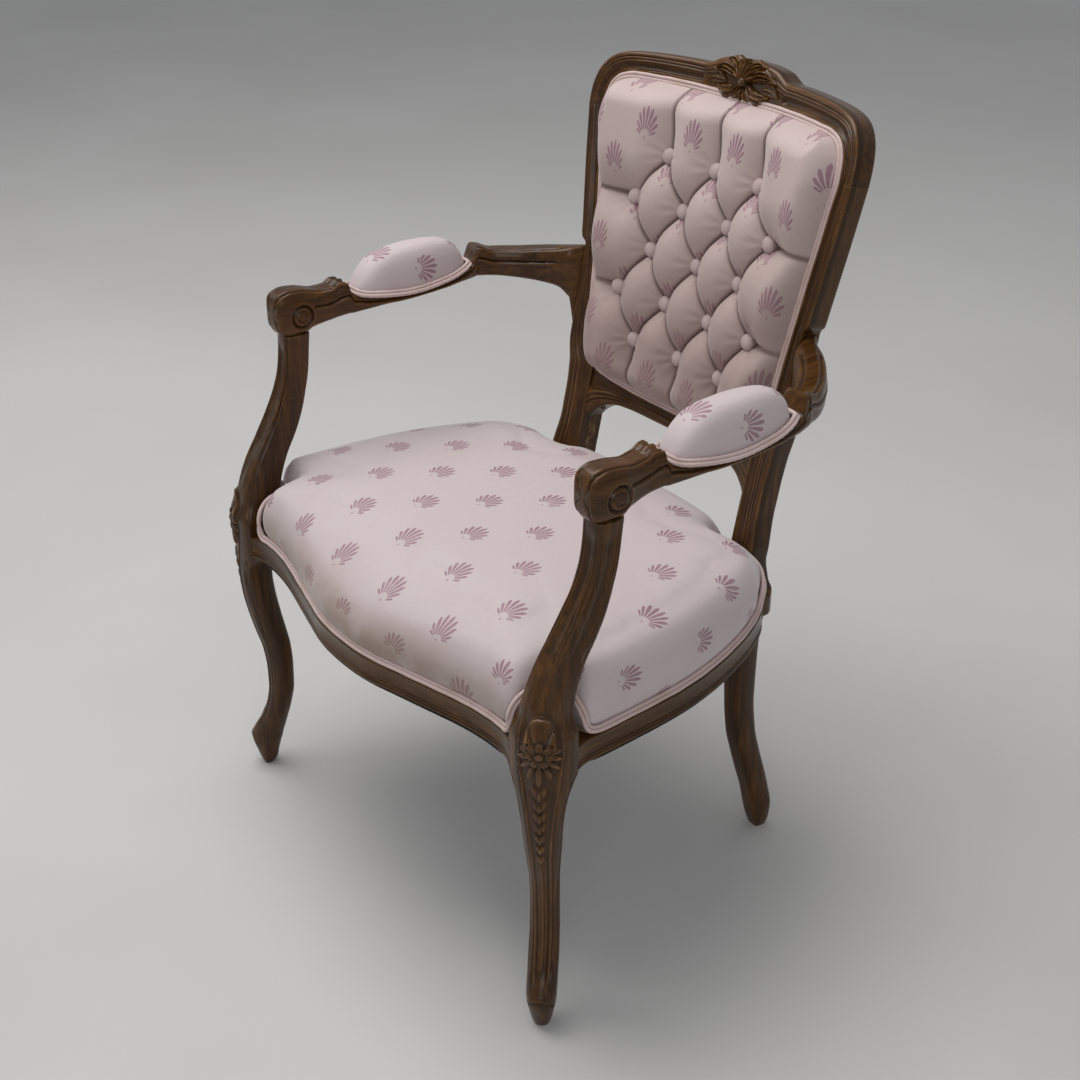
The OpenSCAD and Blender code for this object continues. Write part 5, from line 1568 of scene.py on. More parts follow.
@dataclass
class Arms:
    """Arms with scrolled fronts, a leaf before the pad and a swept rear end."""

    finish: Timber
    columns: int = 132
    power: float = 4.2
    eye: tuple = (77.0, 642.0)
    rows: tuple = (
        (-0.075, 0.00, 0, 0.30, 0.30, 0.66), (-0.068, 0.00, 0, 0.41, 0.14, 0.86), (-0.050, 0.00, 0, 0.47, 0.02, 0.96),
        (-0.020, 0.00, 0, 0.50, 0.00, 1.00), (0.030, 0.00, 0, 0.50, 0.00, 0.97), (0.052, 0.01, 0, 0.49, 0.08, 0.93),
        (0.090, 0.03, 0, 0.47, 0.14, 0.88), (0.130, 0.05, 0, 0.48, 0.19, 0.90), (0.158, 0.055, 0, 0.52, 0.22, 0.98),
        (0.180, 0.06, 0, 0.56, 0.24, 0.97), (0.197, 0.06, 0, 0.58, 0.25, 0.68), (0.300, 0.06, 0, 0.68, 0.30, 0.55),
        (0.420, 0.06, 0, 0.72, 0.33, 0.48), (0.560, 0.06, 3, 0.66, 0.35, 0.53), (0.670, 0.06, 7, 0.53, 0.36, 0.66),
        (0.692, 0.065, 9, 0.48, 0.36, 0.70), (0.714, 0.07, 11, 0.46, 0.36, 1.06), (0.732, 0.10, 14, 0.45, 0.36, 1.04),
        (0.775, 0.16, 21, 0.43, 0.34, 0.93), (0.850, 0.34, 33, 0.43, 0.28, 0.94), (0.912, 0.55, 46, 0.43, 0.21, 0.99),
        (0.955, 0.73, 60, 0.43, 0.12, 1.04), (0.985, 0.88, 76, 0.42, -0.14, 1.08),
    )
    line_places: tuple = (
        (-0.1, 0.50), (0.0, 0.50), (0.06, 0.60), (0.12, 0.58), (0.17, 0.62), (0.22, 0.72), (0.30, 0.60), (0.45, 0.55),
        (0.60, 0.60), (0.72, 0.66), (0.80, 0.62), (0.90, 0.64), (1.0, 0.68),
    )

    def end_y(self, z: Array) -> Array:
        """Where the arm's end lies on the stile."""
        c = CHAIR
        return c.back_y + z * math.tan(c.tilt) - c.hollow(c.arm_plane) / math.cos(c.tilt) + c.back_t * 0.55

    @property
    def run(self) -> float:
        """Length of the arm from its post to the stile."""
        return float(self.end_y(np.array(CHAIR.arm_seam))) - CHAIR.post_sweep

    def at(self, keys: Array) -> Array:
        """Rows of the arm at shares of its run."""
        return faired(self.rows, keys)

    def grid(self) -> tuple[Array, Array]:
        """Bare rings of the right arm.

        Returns:
            The rings, and each ring's share of the run.
        """
        c = CHAIR
        k = np.concatenate(
            [np.linspace(-0.075, -0.05, 12), np.linspace(-0.046, 0.215, 96), np.linspace(0.22, 0.985, 120)]
        )
        in_, turn, half, low, high = (v[:, None] for v in self.at(k).T)
        a = np.linspace(0, 2 * math.pi, 720, endpoint=False)[None]
        u, v = (np.sign(w) * np.abs(w) ** (2 / self.power) for w in (np.cos(a), np.sin(a)))
        v = 0.5 + 0.5 * v
        tilt = np.radians(turn)
        cx = c.arm_half - (c.arm_half - c.arm_plane) * in_
        cy = c.post_sweep + self.run * k[:, None]
        reach = c.scroll_w * half * u
        low, high = c.arm_seam + c.scroll_h * low, c.arm_seam + c.scroll_h * high
        rings = np.stack([cx + np.cos(tilt) * reach, cy + np.sin(tilt) * reach, low + (high - low) * v], -1)
        z_end = c.arm_seam - c.scroll_h * 0.83 + c.scroll_h * 1.93 * v[0]
        end = np.stack([c.arm_plane + 0 * z_end, self.end_y(z_end) + u[0] * (c.back_t / 2 - 3), z_end], -1)
        steps = np.linspace(0, 1, 8)[1:, None, None]
        rings = np.concatenate([rings, rings[-1] + (end - rings[-1]) * steps])
        t = np.arange(self.columns) / self.columns
        keys = np.concatenate([k, np.linspace(0.985, 1.0, 8)[1:]])
        return np.stack([respaced(r, t) for r in rings]), keys[:, None] + 0 * t

    def carving(self, fine: Array, keys: Array) -> Array:
        """Height of the side line, the scroll, the top's edges, the nose and the leaf.

        Args:
            fine: the bare rings.
            keys: share of the run at each point.

        Returns:
            The height.
        """
        lows, highs = fine[..., 2].min(1, keepdims=True), fine[..., 2].max(1, keepdims=True)
        vv = (fine[..., 2] - lows) / (highs - lows)
        centre = fine.mean(axis=1, keepdims=True)
        across = fine[..., 0] - centre[..., 0]
        widest = np.abs(across).max(axis=1, keepdims=True)
        share = across / np.maximum(widest, 1)
        on_side = eased(np.abs(share), 0.80, 0.95)
        off = (vv - np.interp(keys, *np.transpose(self.line_places))) * (highs - lows)
        line = gouge(off, 1.3, 2.4) + bead(off + 3.2, 1.8, 1.0)
        height = line * on_side * eased(keys, 0.045, 0.07) * (1 - eased(keys, 0.93, 0.98))
        r = np.hypot(fine[..., 1] - self.eye[0], fine[..., 2] - self.eye[1])
        swirl = np.arctan2(fine[..., 2] - self.eye[1], fine[..., 1] - self.eye[0])
        ring = gouge(r - 13.6, 1.7, 3.0) + bead(r - 17.0, 2.0, 0.7) + bead(r, 12.0, 1.4)
        ring = ring + gouge(r - 7.2 - 0.6 * swirl, 1.2, 1.8) * eased(np.abs(swirl), 0.5, 1.0)
        height = height + ring * on_side * (r < 20)
        before, behind = 1 - eased(keys, 0.20, 0.22), eased(keys, 0.71, 0.73) * (1 - eased(keys, 0.93, 0.98))
        rim = gouge(np.abs(across) - 0.60 * widest, 1.2, 1.9) + bead(np.abs(across) - 0.78 * widest, 2.0, 0.7)
        height = height + eased(vv, 0.80, 0.92) * (before + behind) * rim
        nose = 1 - eased(keys, -0.055, -0.02)
        height = height + nose * gouge(np.abs(across) - 0.66 * np.maximum(widest, 15), 1.3, 2.0)
        leaf = eased(keys, 0.125, 0.145) * (1 - eased(keys, 0.186, 0.196)) * eased(vv, 0.75, 0.9)
        return height + leaf * (1.2 * np.cos(share * 3.2 * math.pi) - 0.4)

    def build(self) -> None:
        """Makes both arms."""
        fine, keys = self.grid()
        height = self.carving(fine, keys)
        carved = relieved(fine, height)
        for side, name in SIDES:
            skin = Skin().rings(carved, cut=standing(height, 4))
            skin.piece(f"arm_{name}_carved", self.finish, f"arm_{name}", side)


# ---------------------------------------------------------------- upholstery


@dataclass
class Welt:
    """Double welt: two cords side by side in one strip of cloth."""

    cord: float = 2.15

    def section(self) -> Array:
        """Points of the section: across, then out.

        Returns:
            The points, in order round the section.
        """
        a = np.linspace(math.pi, 0, 8)
        one = np.stack([-self.cord + self.cord * np.cos(a), 0.4 + self.cord * np.sin(a)], 1)
        two = one + [2 * self.cord, 0]
        under = np.array([(2.0, -1.6), (0.6, -2.2), (-0.6, -2.2), (-2.0, -1.6)]) * [self.cord, 1]
        return np.vstack([one, [(0, 0.75)], two[1:], under])

    def strip(self, path: Array, out: Array) -> Skin:
        """Lays the welt along a closed path.

        Args:
            path: points of its middle.
            out: the way that it faces at each point.

        Returns:
            Its skin.
        """
        way = unit(np.roll(path, -1, axis=0) - np.roll(path, 1, axis=0))
        up = unit(out - way * (out * way).sum(1, keepdims=True))
        side = np.cross(way, up)
        flat = self.section()
        pucker = 1 + 0.035 * np.sin(np.arange(len(path)) * 0.9)[:, None, None]
        rings = path[:, None] + (side[:, None] * flat[None, :, :1] + up[:, None] * flat[None, :, 1:]) * pucker
        return Skin().rings(rings, looped=True)


def swollen(piece: bpy.types.Object, cell: float, most: float, held: Callable[[Array], Array]) -> None:
    """Lets the padding push a closed cover out, as cloth under pressure.

    Args:
        piece: the cover, a little smaller than it ends.
        cell: mesh size of the cloth in metres.
        most: how far a point may move, in metres.
        held: how firmly each point is tacked down, from 0 to 1.
    """
    scene = bpy.context.scene
    bpy.context.view_layer.objects.active = piece
    remesh = piece.modifiers.new("even", "REMESH")
    remesh.mode, remesh.voxel_size = "VOXEL", cell
    bpy.ops.object.modifier_apply(modifier="even")
    count = len(piece.data.vertices)
    start = np.zeros(count * 3)
    piece.data.vertices.foreach_get("co", start)
    start = start.reshape(-1, 3)
    group = piece.vertex_groups.new(name="tacks")
    for i, grip in enumerate(held(start)):
        if grip > 0.01:
            group.add([i], float(grip), "REPLACE")
    cloth = piece.modifiers.new("stuffing", "CLOTH")
    cloth.settings.quality = 6
    cloth.settings.use_pressure = True
    cloth.settings.uniform_pressure_force = 4.0
    cloth.settings.vertex_group_mass = "tacks"
    cloth.settings.tension_stiffness = 12
    cloth.settings.compression_stiffness = 12
    cloth.settings.effector_weights.gravity = 0.0
    cloth.point_cache.frame_start, cloth.point_cache.frame_end = 1, SWELL_FRAMES
    for moment in range(1, SWELL_FRAMES + 1):
        scene.frame_set(moment)
    moved = np.zeros(count * 3)
    piece.evaluated_get(bpy.context.evaluated_depsgraph_get()).data.vertices.foreach_get("co", moved)
    shift = moved.reshape(-1, 3) - start
    normal = np.zeros(count * 3)
    piece.data.vertices.foreach_get("normal", normal)
    normal = normal.reshape(-1, 3)
    rise = (shift * normal).sum(axis=1, keepdims=True)
    shift += normal * (np.maximum(rise, 0.0) - rise)
    far = np.linalg.norm(shift, axis=1, keepdims=True)
    end = start + shift * np.minimum(1, most / np.maximum(far, 1e-9))
    piece.modifiers.remove(cloth)
    scene.frame_set(1)
    piece.data.vertices.foreach_set("co", end.ravel())
    rounded = piece.modifiers.new("rounded", "SUBSURF")
    rounded.levels = rounded.render_levels = 1
    bpy.ops.object.modifier_apply(modifier="rounded")
    piece.data.polygons.foreach_set("use_smooth", np.ones(len(piece.data.polygons), bool))
    LOG.info("swelled %s by up to %.1f mm", piece.name, 1000 * min(most, far.max()))


@dataclass
class Seat:
    """Seat from the dust cloth and webbing up to the crowned cover and its welt."""

    rails: SeatRails
    palette: Palette
    profile: tuple = (
        (1.00, 1.00, 0.000), (1.00, 1.00, 0.095), (0.42, 1.00, 0.140), (0.15, 1.00, 0.280), (0.20, 1.00, 0.450),
        (0.60, 0.998, 0.610), (1.00, 0.986, 0.740), (1.00, 0.950, 0.840), (1.00, 0.840, 0.920), (1.00, 0.610, 0.975),
        (1.00, 0.320, 1.000), (1.00, 0.10, 1.004),
    )
    corner_tuck: float = 6.0
    lean_gap: float = 5.0
    strap_w: float = 50.0
    strap_t: float = 1.2
    strap_in: float = 18.0
    foam_in: float = 4.5
    foam_up: float = 4.3
    foam_down: float = 5.5
    cell: float = 0.0055
    most: float = 0.0045
    tack_band: tuple = (384.0, 402.0)
    fold_z: float = 440.0

    @property
    def rim(self) -> float:
        """Room for the welt round the cover."""
        return CHAIR.welt_d + 2 * CHAIR.gap

    def half(self, push: float) -> Array:
        """Right half of the seat's outline, kept off the posts by push.

        Args:
            push: distance inside the seat's edge.

        Returns:
            Points of the line, from front to rear.
        """
        c = CHAIR
        front = self.rails.front_line(1)[:-1].copy()
        front[-1] += push * np.array([-1.25, 0.45])
        tuck, lean = self.corner_tuck, self.lean_gap
        notch = np.array([
            (c.front_in - tuck - push, -c.post_half + tuck + push / 2), (c.front_in - push, 0),
            (c.front_in - push, c.post_half + lean + push), (c.front_half, c.post_half + lean + push),
            (c.front_out - tuck - push / 2, c.post_half + tuck + lean + push),
        ])
        side = self.rails.side_line(1)[1:-1].copy()
        side[0] += push * np.array([-0.12, 1.0])
        side[-1] += push * np.array([-0.6, -0.5])
        rear = np.array([
            (c.rear_out + 1 - push, c.rear_front + 10 - push * 0.4), (c.rear_out - 20, c.rear_front - push),
            (c.rear_in - push, c.rear_front - push), (c.rear_in - push, c.rear_back - c.gap),
        ])
        return np.vstack([front, notch, side, rear])

    def line(self, push: float) -> Array:
        """Whole outline, anticlockwise from above."""
        half = self.half(push)
        return np.vstack([half, half[:0:-1] * [-1, 1]])

    def crown(self, y: Array) -> Array:
        """Fall of the crown towards the front and rear."""
        off = np.abs(y - CHAIR.middle[1]) / CHAIR.seat_run
        return 1 - 0.16 * (np.maximum(0, off - 0.32) / 0.18) ** 2

    def rings(self, deeper: float, low: float, peak: float, steps: int, rounding: int) -> Array:
        """Rings of the cover or the padding.

        Args:
            deeper: how far inside the cover's face.
            low: lowest height.
            peak: height of the crown.
            steps: rings between two rows of the profile.
            rounding: how often the outline's corners are cut.

        Returns:
            The rings, from the rim up.
        """
        base = CHAIR.rail_top + CHAIR.gap
        middle = CHAIR.middle
        rings = []
        for tuck, draw, up in curved(self.profile, steps):
            flat = middle + draw * (inset(self.line(self.rim), self.rim * tuck + deeper) - middle)
            flat = cornered(flat, rounding)
            corner = eased(np.abs(flat[:, 0]), 120, 152) * eased(flat[:, 1], 340, 376)
            z = np.maximum(low, base + (peak - base) * up * (self.crown(flat[:, 1]) - 0.07 * corner))
            rings.append(np.concatenate([flat, z[:, None]], 1))
        return np.stack(rings)

    def tacked(self, points: Array) -> Array:
        """Grip of the seat's tacks: full at the rim, none on the top."""
        return 1 - eased(points[:, 2] * 1000, *self.tack_band)

    def lay(self, points: Array, normals: Array) -> Array:
        """Places on the flat cloth: the top as it lies, the sides folded out.

        Args:
            points: world points, in metres.
            normals: their directions.

        Returns:
            Places on the cloth, in millimetres.
        """
        out = unit(normals[:, :2])
        steep = 1 - eased(normals[:, 2], 0.35, 0.85)
        drop = np.maximum(0, self.fold_z - points[:, 2] * 1000) * steep
        return points[:, :2] * 1000 + out * drop[:, None]

    def cover(self) -> None:
        """Makes the padding and the cover over it."""
        c = CHAIR
        peak = c.rail_top + c.seat_crown
        rings = self.rings(c.cloth_t + self.foam_in, c.rail_top + self.foam_up, peak - self.foam_down, 2, 2)
        foam = Skin().rings(rings).piece("seat_padding", self.palette.foam, "seat_foam")
        rings = self.rings(0.0, c.rail_top + c.gap, peak, 5, 3)
        cover = Skin().rings(rings).piece("seat_cover_sewn", self.palette.seat, "seat_cover", sharp=75)
        swollen(cover, self.cell, self.most, self.tacked)
        mapped(cover, self.lay)

    def welt(self) -> None:
        """Makes the double welt, which climbs with the cloth at the posts."""
        c = CHAIR
        line = inset(self.line(0.0), c.welt_d / 2 + c.gap)
        n, m = len(self.rails.front) - 1, len(self.half(0.0))
        low = c.rail_top + c.gap + c.welt_d / 2
        share = np.zeros(m)
        share[n + 1 : n + 4] = 1.0
        share[[n, n + 4]] = 0.62
        share[m - 4 :] = (0.45, 1.0, 1.06, 0.30)
        rise = np.concatenate([share, share[:0:-1]]) * c.seat_crown * 0.5
        path = cornered(np.concatenate([line, (low + rise)[:, None]], 1), 3)
        skin = Welt().strip(path, outward(path, 3) * 0.8 + [0, 0, 0.6])
        skin.piece("seat_double_welt", self.palette.piping, "seat_welt", sharp=80)

    def flat_sheet(self, by: float, z: float, thick: float, steps: int = 16) -> tuple[Skin, float]:
        """Level sheet inside the seat's outline, and its area in square metres.

        Args:
            by: distance inside the seat's edge.
            z: height of the underside.
            thick: its thickness.
            steps: rings from the edge to the middle.

        Returns:
            The surface and its area.
        """
        line = cornered(inset(self.line(self.rim), by), 2)
        middle = CHAIR.middle
        rings = [middle + (line - middle) * k for k in np.linspace(0.04, 1, steps)]
        top = np.stack([np.concatenate([r, np.full((len(r), 1), z + thick)], 1) for r in rings])
        under = top[::-1] - [0, 0, thick]
        x, y = line.T
        area = 0.5 * abs(np.sum(x * np.roll(y, -1) - np.roll(x, -1) * y)) / 1e6
        return Skin().rings(np.concatenate([top, under])), area

    def wave(self, places: Array, first: int, run: Array, rise: float) -> Array:
        """Height of a strap that rises over every second strap of the other set.

        Args:
            places: where the other set's straps lie.
            first: 0 or 1, for a strap that starts over or under.
            run: places along the strap.
            rise: height of the crossing.

        Returns:
            Height along the strap.
        """
        over = np.zeros_like(run)
        for i, p in enumerate(places):
            if (i + first) % 2 == 0:
                over = np.maximum(over, 1 - eased(np.abs(run - p), self.strap_w / 2, self.strap_w * 0.62))
        return over * rise

    def strap(self, skin: Skin, x: Array, y: Array, z: Array) -> None:
        """Adds one strap, whose rows run along it."""
        top = np.stack(np.broadcast_arrays(x, y, z[:, None] + self.strap_t), -1)
        skin.cloth(top, top - [0, 0, self.strap_t])

    def webbing(self) -> None:
        """Makes the woven straps under the padding."""
        c = CHAIR
        layer = self.strap_t + c.gap
        xs = (np.arange(4) - 1.5) * self.strap_w * 1.35
        ys = c.seat_run * 0.5 + (np.arange(4) - 1.5) * self.strap_w * 1.45
        front, side = self.rails.front_line(2), self.rails.side_line(2)
        lengthwise, crosswise = Skin(), Skin()
        across = np.linspace(-self.strap_w / 2, self.strap_w / 2, 9)
        for i, x in enumerate(xs):
            start = np.interp(abs(x), front[:, 0], front[:, 1]) + self.strap_in
            run = np.linspace(start, c.rear_back - c.rail_t / 2 - c.gap, 120)
            self.strap(lengthwise, x + across[None], run[:, None], c.rail_top + self.wave(ys, i, run, layer))
        for i, y in enumerate(ys):
            reach = np.interp(y + self.strap_w / 2, side[:, 1], side[:, 0]) - self.strap_in
            run = np.linspace(-reach, reach, 150)
            self.strap(crosswise, run[:, None], y + across[None], c.rail_top + self.wave(xs, i + 1, run, layer))
        for skin, way in ((lengthwise, "lengthwise"), (crosswise, "crosswise")):
            skin.piece(f"seat_straps_{way}", self.palette.jute, f"seat_webbing_{way}")

    def build(self) -> None:
        """Makes the whole seat."""
        c = CHAIR
        self.webbing()
        skin, area = self.flat_sheet(c.cloth_t + 2 * c.gap, c.rail_top + 2 * (self.strap_t + c.gap) + c.gap, 1.0)
        burlap = skin.piece("seat_burlap_sheet", self.palette.burlap, "seat_burlap")
        skin, area = self.flat_sheet(0.0, c.rail_low - 0.8, 0.8)
        dust = skin.piece("dust_cover_sheet", self.palette.dust, "dust_cover")
        self.cover()
        self.welt()


@dataclass
class Back:
    """Back upholstery: straps, burlap, padding, buttoned cover, buttons, welts and outside cover."""

    palette: Palette
    fine: int = 20
    rows: int = 5
    crease: float = 0.22
    strap_w: float = 50.0
    strap_t: float = 1.2
    strap_pitch: float = 95.0

    @property
    def rim(self) -> float:
        """Room for the welt round the cover."""
        return CHAIR.welt_d - 2 * CHAIR.gap

    @property
    def row(self) -> float:
        """Distance between two rows of buttons."""
        return CHAIR.opening_t * 0.1458

    @property
    def lowest(self) -> float:
        """Place of the lowest buttons, up the lean."""
        return CHAIR.along(CHAIR.opening_low) + CHAIR.opening_t * 0.19

    @property
    def highest(self) -> float:
        """Place of the highest buttons."""
        return self.lowest + (self.rows - 1) * self.row

    def places(self) -> list[tuple[float, float]]:
        """Where the buttons are: rows of three and four in turn.

        Returns:
            Places across and up the lean.
        """
        found = []
        for j in range(self.rows):
            n = 3 if j % 2 == 0 else 4
            found += [((i - (n - 1) / 2) * CHAIR.button_pitch, self.lowest + j * self.row) for i in range(n)]
        return found

    def folds(self, x: Array, t: Array) -> tuple[Array, Array]:
        """How far a place lies off the two sets of folds that run from button to button.

        Args:
            x: places across.
            t: places up the lean.

        Returns:
            Zero on a fold and one midway between two, for each set.
        """
        half = CHAIR.button_pitch / 2
        cx = np.clip(x, -3 * half, 3 * half) / half
        ct = (np.clip(t, self.lowest, self.highest) - self.lowest) / self.row
        return np.abs(np.sin(math.pi / 2 * (cx + ct))), np.abs(np.sin(math.pi / 2 * (cx - ct)))

    def swell(self, x: Array, t: Array) -> Array:
        """Share of the tufts' height at a place: low at buttons, folds between them, full pillows.

        Args:
            x: places across.
            t: places up the lean.

        Returns:
            The share, from 0 to 1.
        """
        a, b = self.folds(x, t)
        beyond = np.maximum(np.maximum(np.abs(x) - 1.5 * CHAIR.button_pitch, t - self.highest), self.lowest - t)
        away = eased(beyond, 2.0, 70.0)
        base = self.crease + 0.22 * np.maximum(a * a, b * b)
        base = base + (0.66 - base) * away
        return base + (1 - base) * (a * b) ** 0.42 - 0.07 * np.exp(-((np.minimum(a, b) / 0.05) ** 2))

    def grid(self, fine: int, deeper: float, sink: float, flat: float | None = None) -> Array:
        """Points of a layer of the back.

        Args:
            fine: parts of half a button pitch.
            deeper: how far inside the cover's outline.
            sink: how far behind the cover's face.
            flat: distance behind the hollow front face, for a layer without tufts.

        Returns:
            The grid, rows from the bottom up.
        """
        c = CHAIR
        half = c.button_pitch / 2
        foot, top = c.along(c.opening_low), c.opening_t
        low, high = foot + self.rim + deeper, c.along(c.opening_high) - self.rim - deeper
        extra = 1 + fine * 3 // 2
        t0 = np.concatenate([
            np.linspace(low, self.lowest, extra + 1)[:-1],
            self.lowest + np.arange((self.rows - 1) * fine) * self.row / fine,
            np.linspace(self.highest, high, extra + 3),
        ])[:, None]
        v = (t0 - low) / (high - low)
        rim = inset(opening_line(5), self.rim + deeper)
        above = opening_width(t0 + top * np.where(v > 0.5, 0.012, 0.1))
        w = np.minimum(opening_width(np.maximum(t0, foot + top * 0.038)), above) - self.rim - deeper
        inner = np.arange(0, 3 * fine + 1) * half / fine
        outer = 3 * half + (w - 3 * half) * np.sin(np.linspace(0, 1, extra + 1)[1:] * math.pi / 2)[None]
        right = np.concatenate([np.broadcast_to(inner[None], (len(t0), len(inner))), outer], 1)
        x = np.concatenate([-right[:, :0:-1], right], 1)
        fall = top * 0.019 * v**4 * np.minimum(1, (x / c.opening_half * 2) ** 2 * 0.5)
        t = t0 + opening_rise(x) * (1 - v) ** 6 - fall
        x, t = self.trimmed(x, t, rim)
        if flat is not None:
            return c.back(x, t, flat)
        edge = np.minimum(1, np.minimum(np.minimum(w - np.abs(x), t0 - low), high - t0) / (self.row * 0.6))
        rise = (1 - (1 - np.clip(edge, 0, 1)) ** 2.4) * self.swell(x, t)
        ripple = np.zeros_like(x)
        for bx, bt in self.places():
            r, turn = np.hypot(x - bx, t - bt), np.arctan2(t - bt, x - bx)
            ripple = ripple + 0.9 * np.cos(turn * 9 + bx) * np.exp(-(((r - 14) / 10) ** 2))
        return c.back(x, t, -(rise * c.tuft_rise + ripple * eased(edge, 0.2, 0.6)) + sink)

    def trimmed(self, x: Array, t: Array, rim: Array) -> tuple[Array, Array]:
        """Draws a grid's edges onto an outline and lets that fade inwards.

        Args:
            x: across.
            t: up the lean.
            rim: the outline.

        Returns:
            The new places.
        """
        grid = np.stack([x, t + 0 * x], -1)
        fine = np.vstack([rim + (np.roll(rim, -1, axis=0) - rim) * k for k in (0, 0.25, 0.5, 0.75)])

        def pull(edge: Array) -> Array:
            """How far each edge point is from the outline."""
            near = np.linalg.norm(edge[:, None] - fine[None], axis=2).argmin(axis=1)
            return fine[near] - edge

        v, u = np.meshgrid(np.linspace(0, 1, grid.shape[0]), np.linspace(0, 1, grid.shape[1]), indexing="ij")
        a0, a1, b0, b1 = ((k**8)[..., None] for k in (1 - u, u, 1 - v, v))
        left, right, low, high = pull(grid[:, 0]), pull(grid[:, -1]), pull(grid[0]), pull(grid[-1])
        move = a0 * left[:, None] + a1 * right[:, None] + b0 * low[None] + b1 * high[None]
        move -= a0 * b0 * low[0] + a0 * b1 * high[0] + a1 * b0 * low[-1] + a1 * b1 * high[-1]
        return tuple(np.moveaxis(grid + move, -1, 0))

    def folded(self, i: Array, k: Array) -> Array:
        """Whether a square of the grid folds along its falling diagonal.

        Args:
            i: rows of the grid.
            k: columns of the grid.

        Returns:
            True where it does.
        """
        n = self.fine
        extra = 1 + n * 3 // 2
        column, row = i - extra - 3 * n, k - extra
        fall = (column + row + 1) % (2 * n)
        rise = (column - row) % (2 * n)
        return np.minimum(fall, 2 * n - fall) < np.minimum(rise, 2 * n - rise)

    def fold_shade_mark(self, grid: Array) -> Array:
        """Mark of the folds between the tufts, where the cloth is tucked away and painted shade darkens it.

        Args:
            grid: points of the cover.

        Returns:
            The mark, from -1 in a fold to 0.
        """
        up = (grid[..., 1] - CHAIR.back_y) * math.sin(CHAIR.tilt) + grid[..., 2] * math.cos(CHAIR.tilt)
        near = np.minimum(*self.folds(grid[..., 0], up))
        return -np.exp(-((near / 0.10) ** 2))

    def button_skin(self) -> Skin:
        """Domed buttons, each turned square to the back and a little askew.

        Returns:
            The surface of all buttons.
        """
        c = CHAIR
        skin = Skin()
        chance = np.random.default_rng(7)
        a = np.linspace(0, 2 * math.pi, 33)[:-1]
        base = self.crease * c.tuft_rise
        for x, t in self.places():
            lean = chance.uniform(-0.09, 0.09, 2)
            rows = [(0.72, base - 1.0), (0.88, base + 5.0), (1.0, base + 8.4), (1.0, base + 9.9), (0.93, base + 11.9),
                    (0.78, base + 13.6), (0.55, base + 14.9), (0.28, base + 15.6), (0.05, base + 15.8)]
            rings = []
            for share, h in rows:
                r = share * (c.button_d / 2 + c.cloth_t)
                px, pt = x + r * np.cos(a), t + r * np.sin(a)
                tilt = r * (np.cos(a) * lean[0] + np.sin(a) * lean[1])
                pleat = 0.12 * np.cos(a * 12) * (r > 6)
                swing = c.hollow(x) + (px - x) * x / c.back_r
                rings.append(c.back(px, pt, c.hollow(px) - swing - h - tilt - pleat))
            skin.rings(np.stack(rings))
        return skin

    def lay(self, points: Array, normals: Array) -> Array:
        """Places on the flat cloth, across and up the lean."""
        y, z = points[:, 1] * 1000 + CHAIR.mid_y - CHAIR.back_y, points[:, 2] * 1000
        return np.stack([points[:, 0] * 1000, y * math.sin(CHAIR.tilt) + z * math.cos(CHAIR.tilt)], 1)

    def straps(self) -> None:
        """Makes the three upright straps."""
        c = CHAIR
        skin = Skin()
        for i in range(3):
            x = (i - 1) * self.strap_pitch + np.linspace(-self.strap_w / 2, self.strap_w / 2, 9)
            foot = c.along(c.opening_low) + c.gap + opening_rise(x)
            t = foot[None] + np.linspace(0, 1, 50)[:, None] * (c.along(c.opening_high) - c.ledge_w * 0.3 - foot)[None]
            x = x[None] + 0 * t
            skin.cloth(c.back(x, t, c.ledge_front - self.strap_t), c.back(x, t, c.ledge_front))
        skin.piece("back_straps", self.palette.jute, "back_webbing")

    def area(self, grid: Array) -> float:
        """Area of a grid in square metres."""
        u, v = grid[1:, :-1] - grid[:-1, :-1], grid[:-1, 1:] - grid[:-1, :-1]
        return float(np.linalg.norm(np.cross(u, v), axis=2).sum()) / 1e6

    def welt(self, name: str, node: str, d: float, facing: float) -> None:
        """Makes the double welt round the opening.

        Args:
            name: the piece's name.
            node: the node that it replaces.
            d: how far behind the hollow front face.
            facing: -1 to face forward, 1 to face the rear.
        """
        c = CHAIR
        line = inset(opening_line(7), c.welt_d / 2 + 2 * c.gap)
        path = c.back(line[:, 0], line[:, 1], d)
        out = facing * (c.back(line[:, 0], line[:, 1], d + 1) - path)
        Welt().strip(path, out).piece(name, self.palette.piping, node, sharp=80)

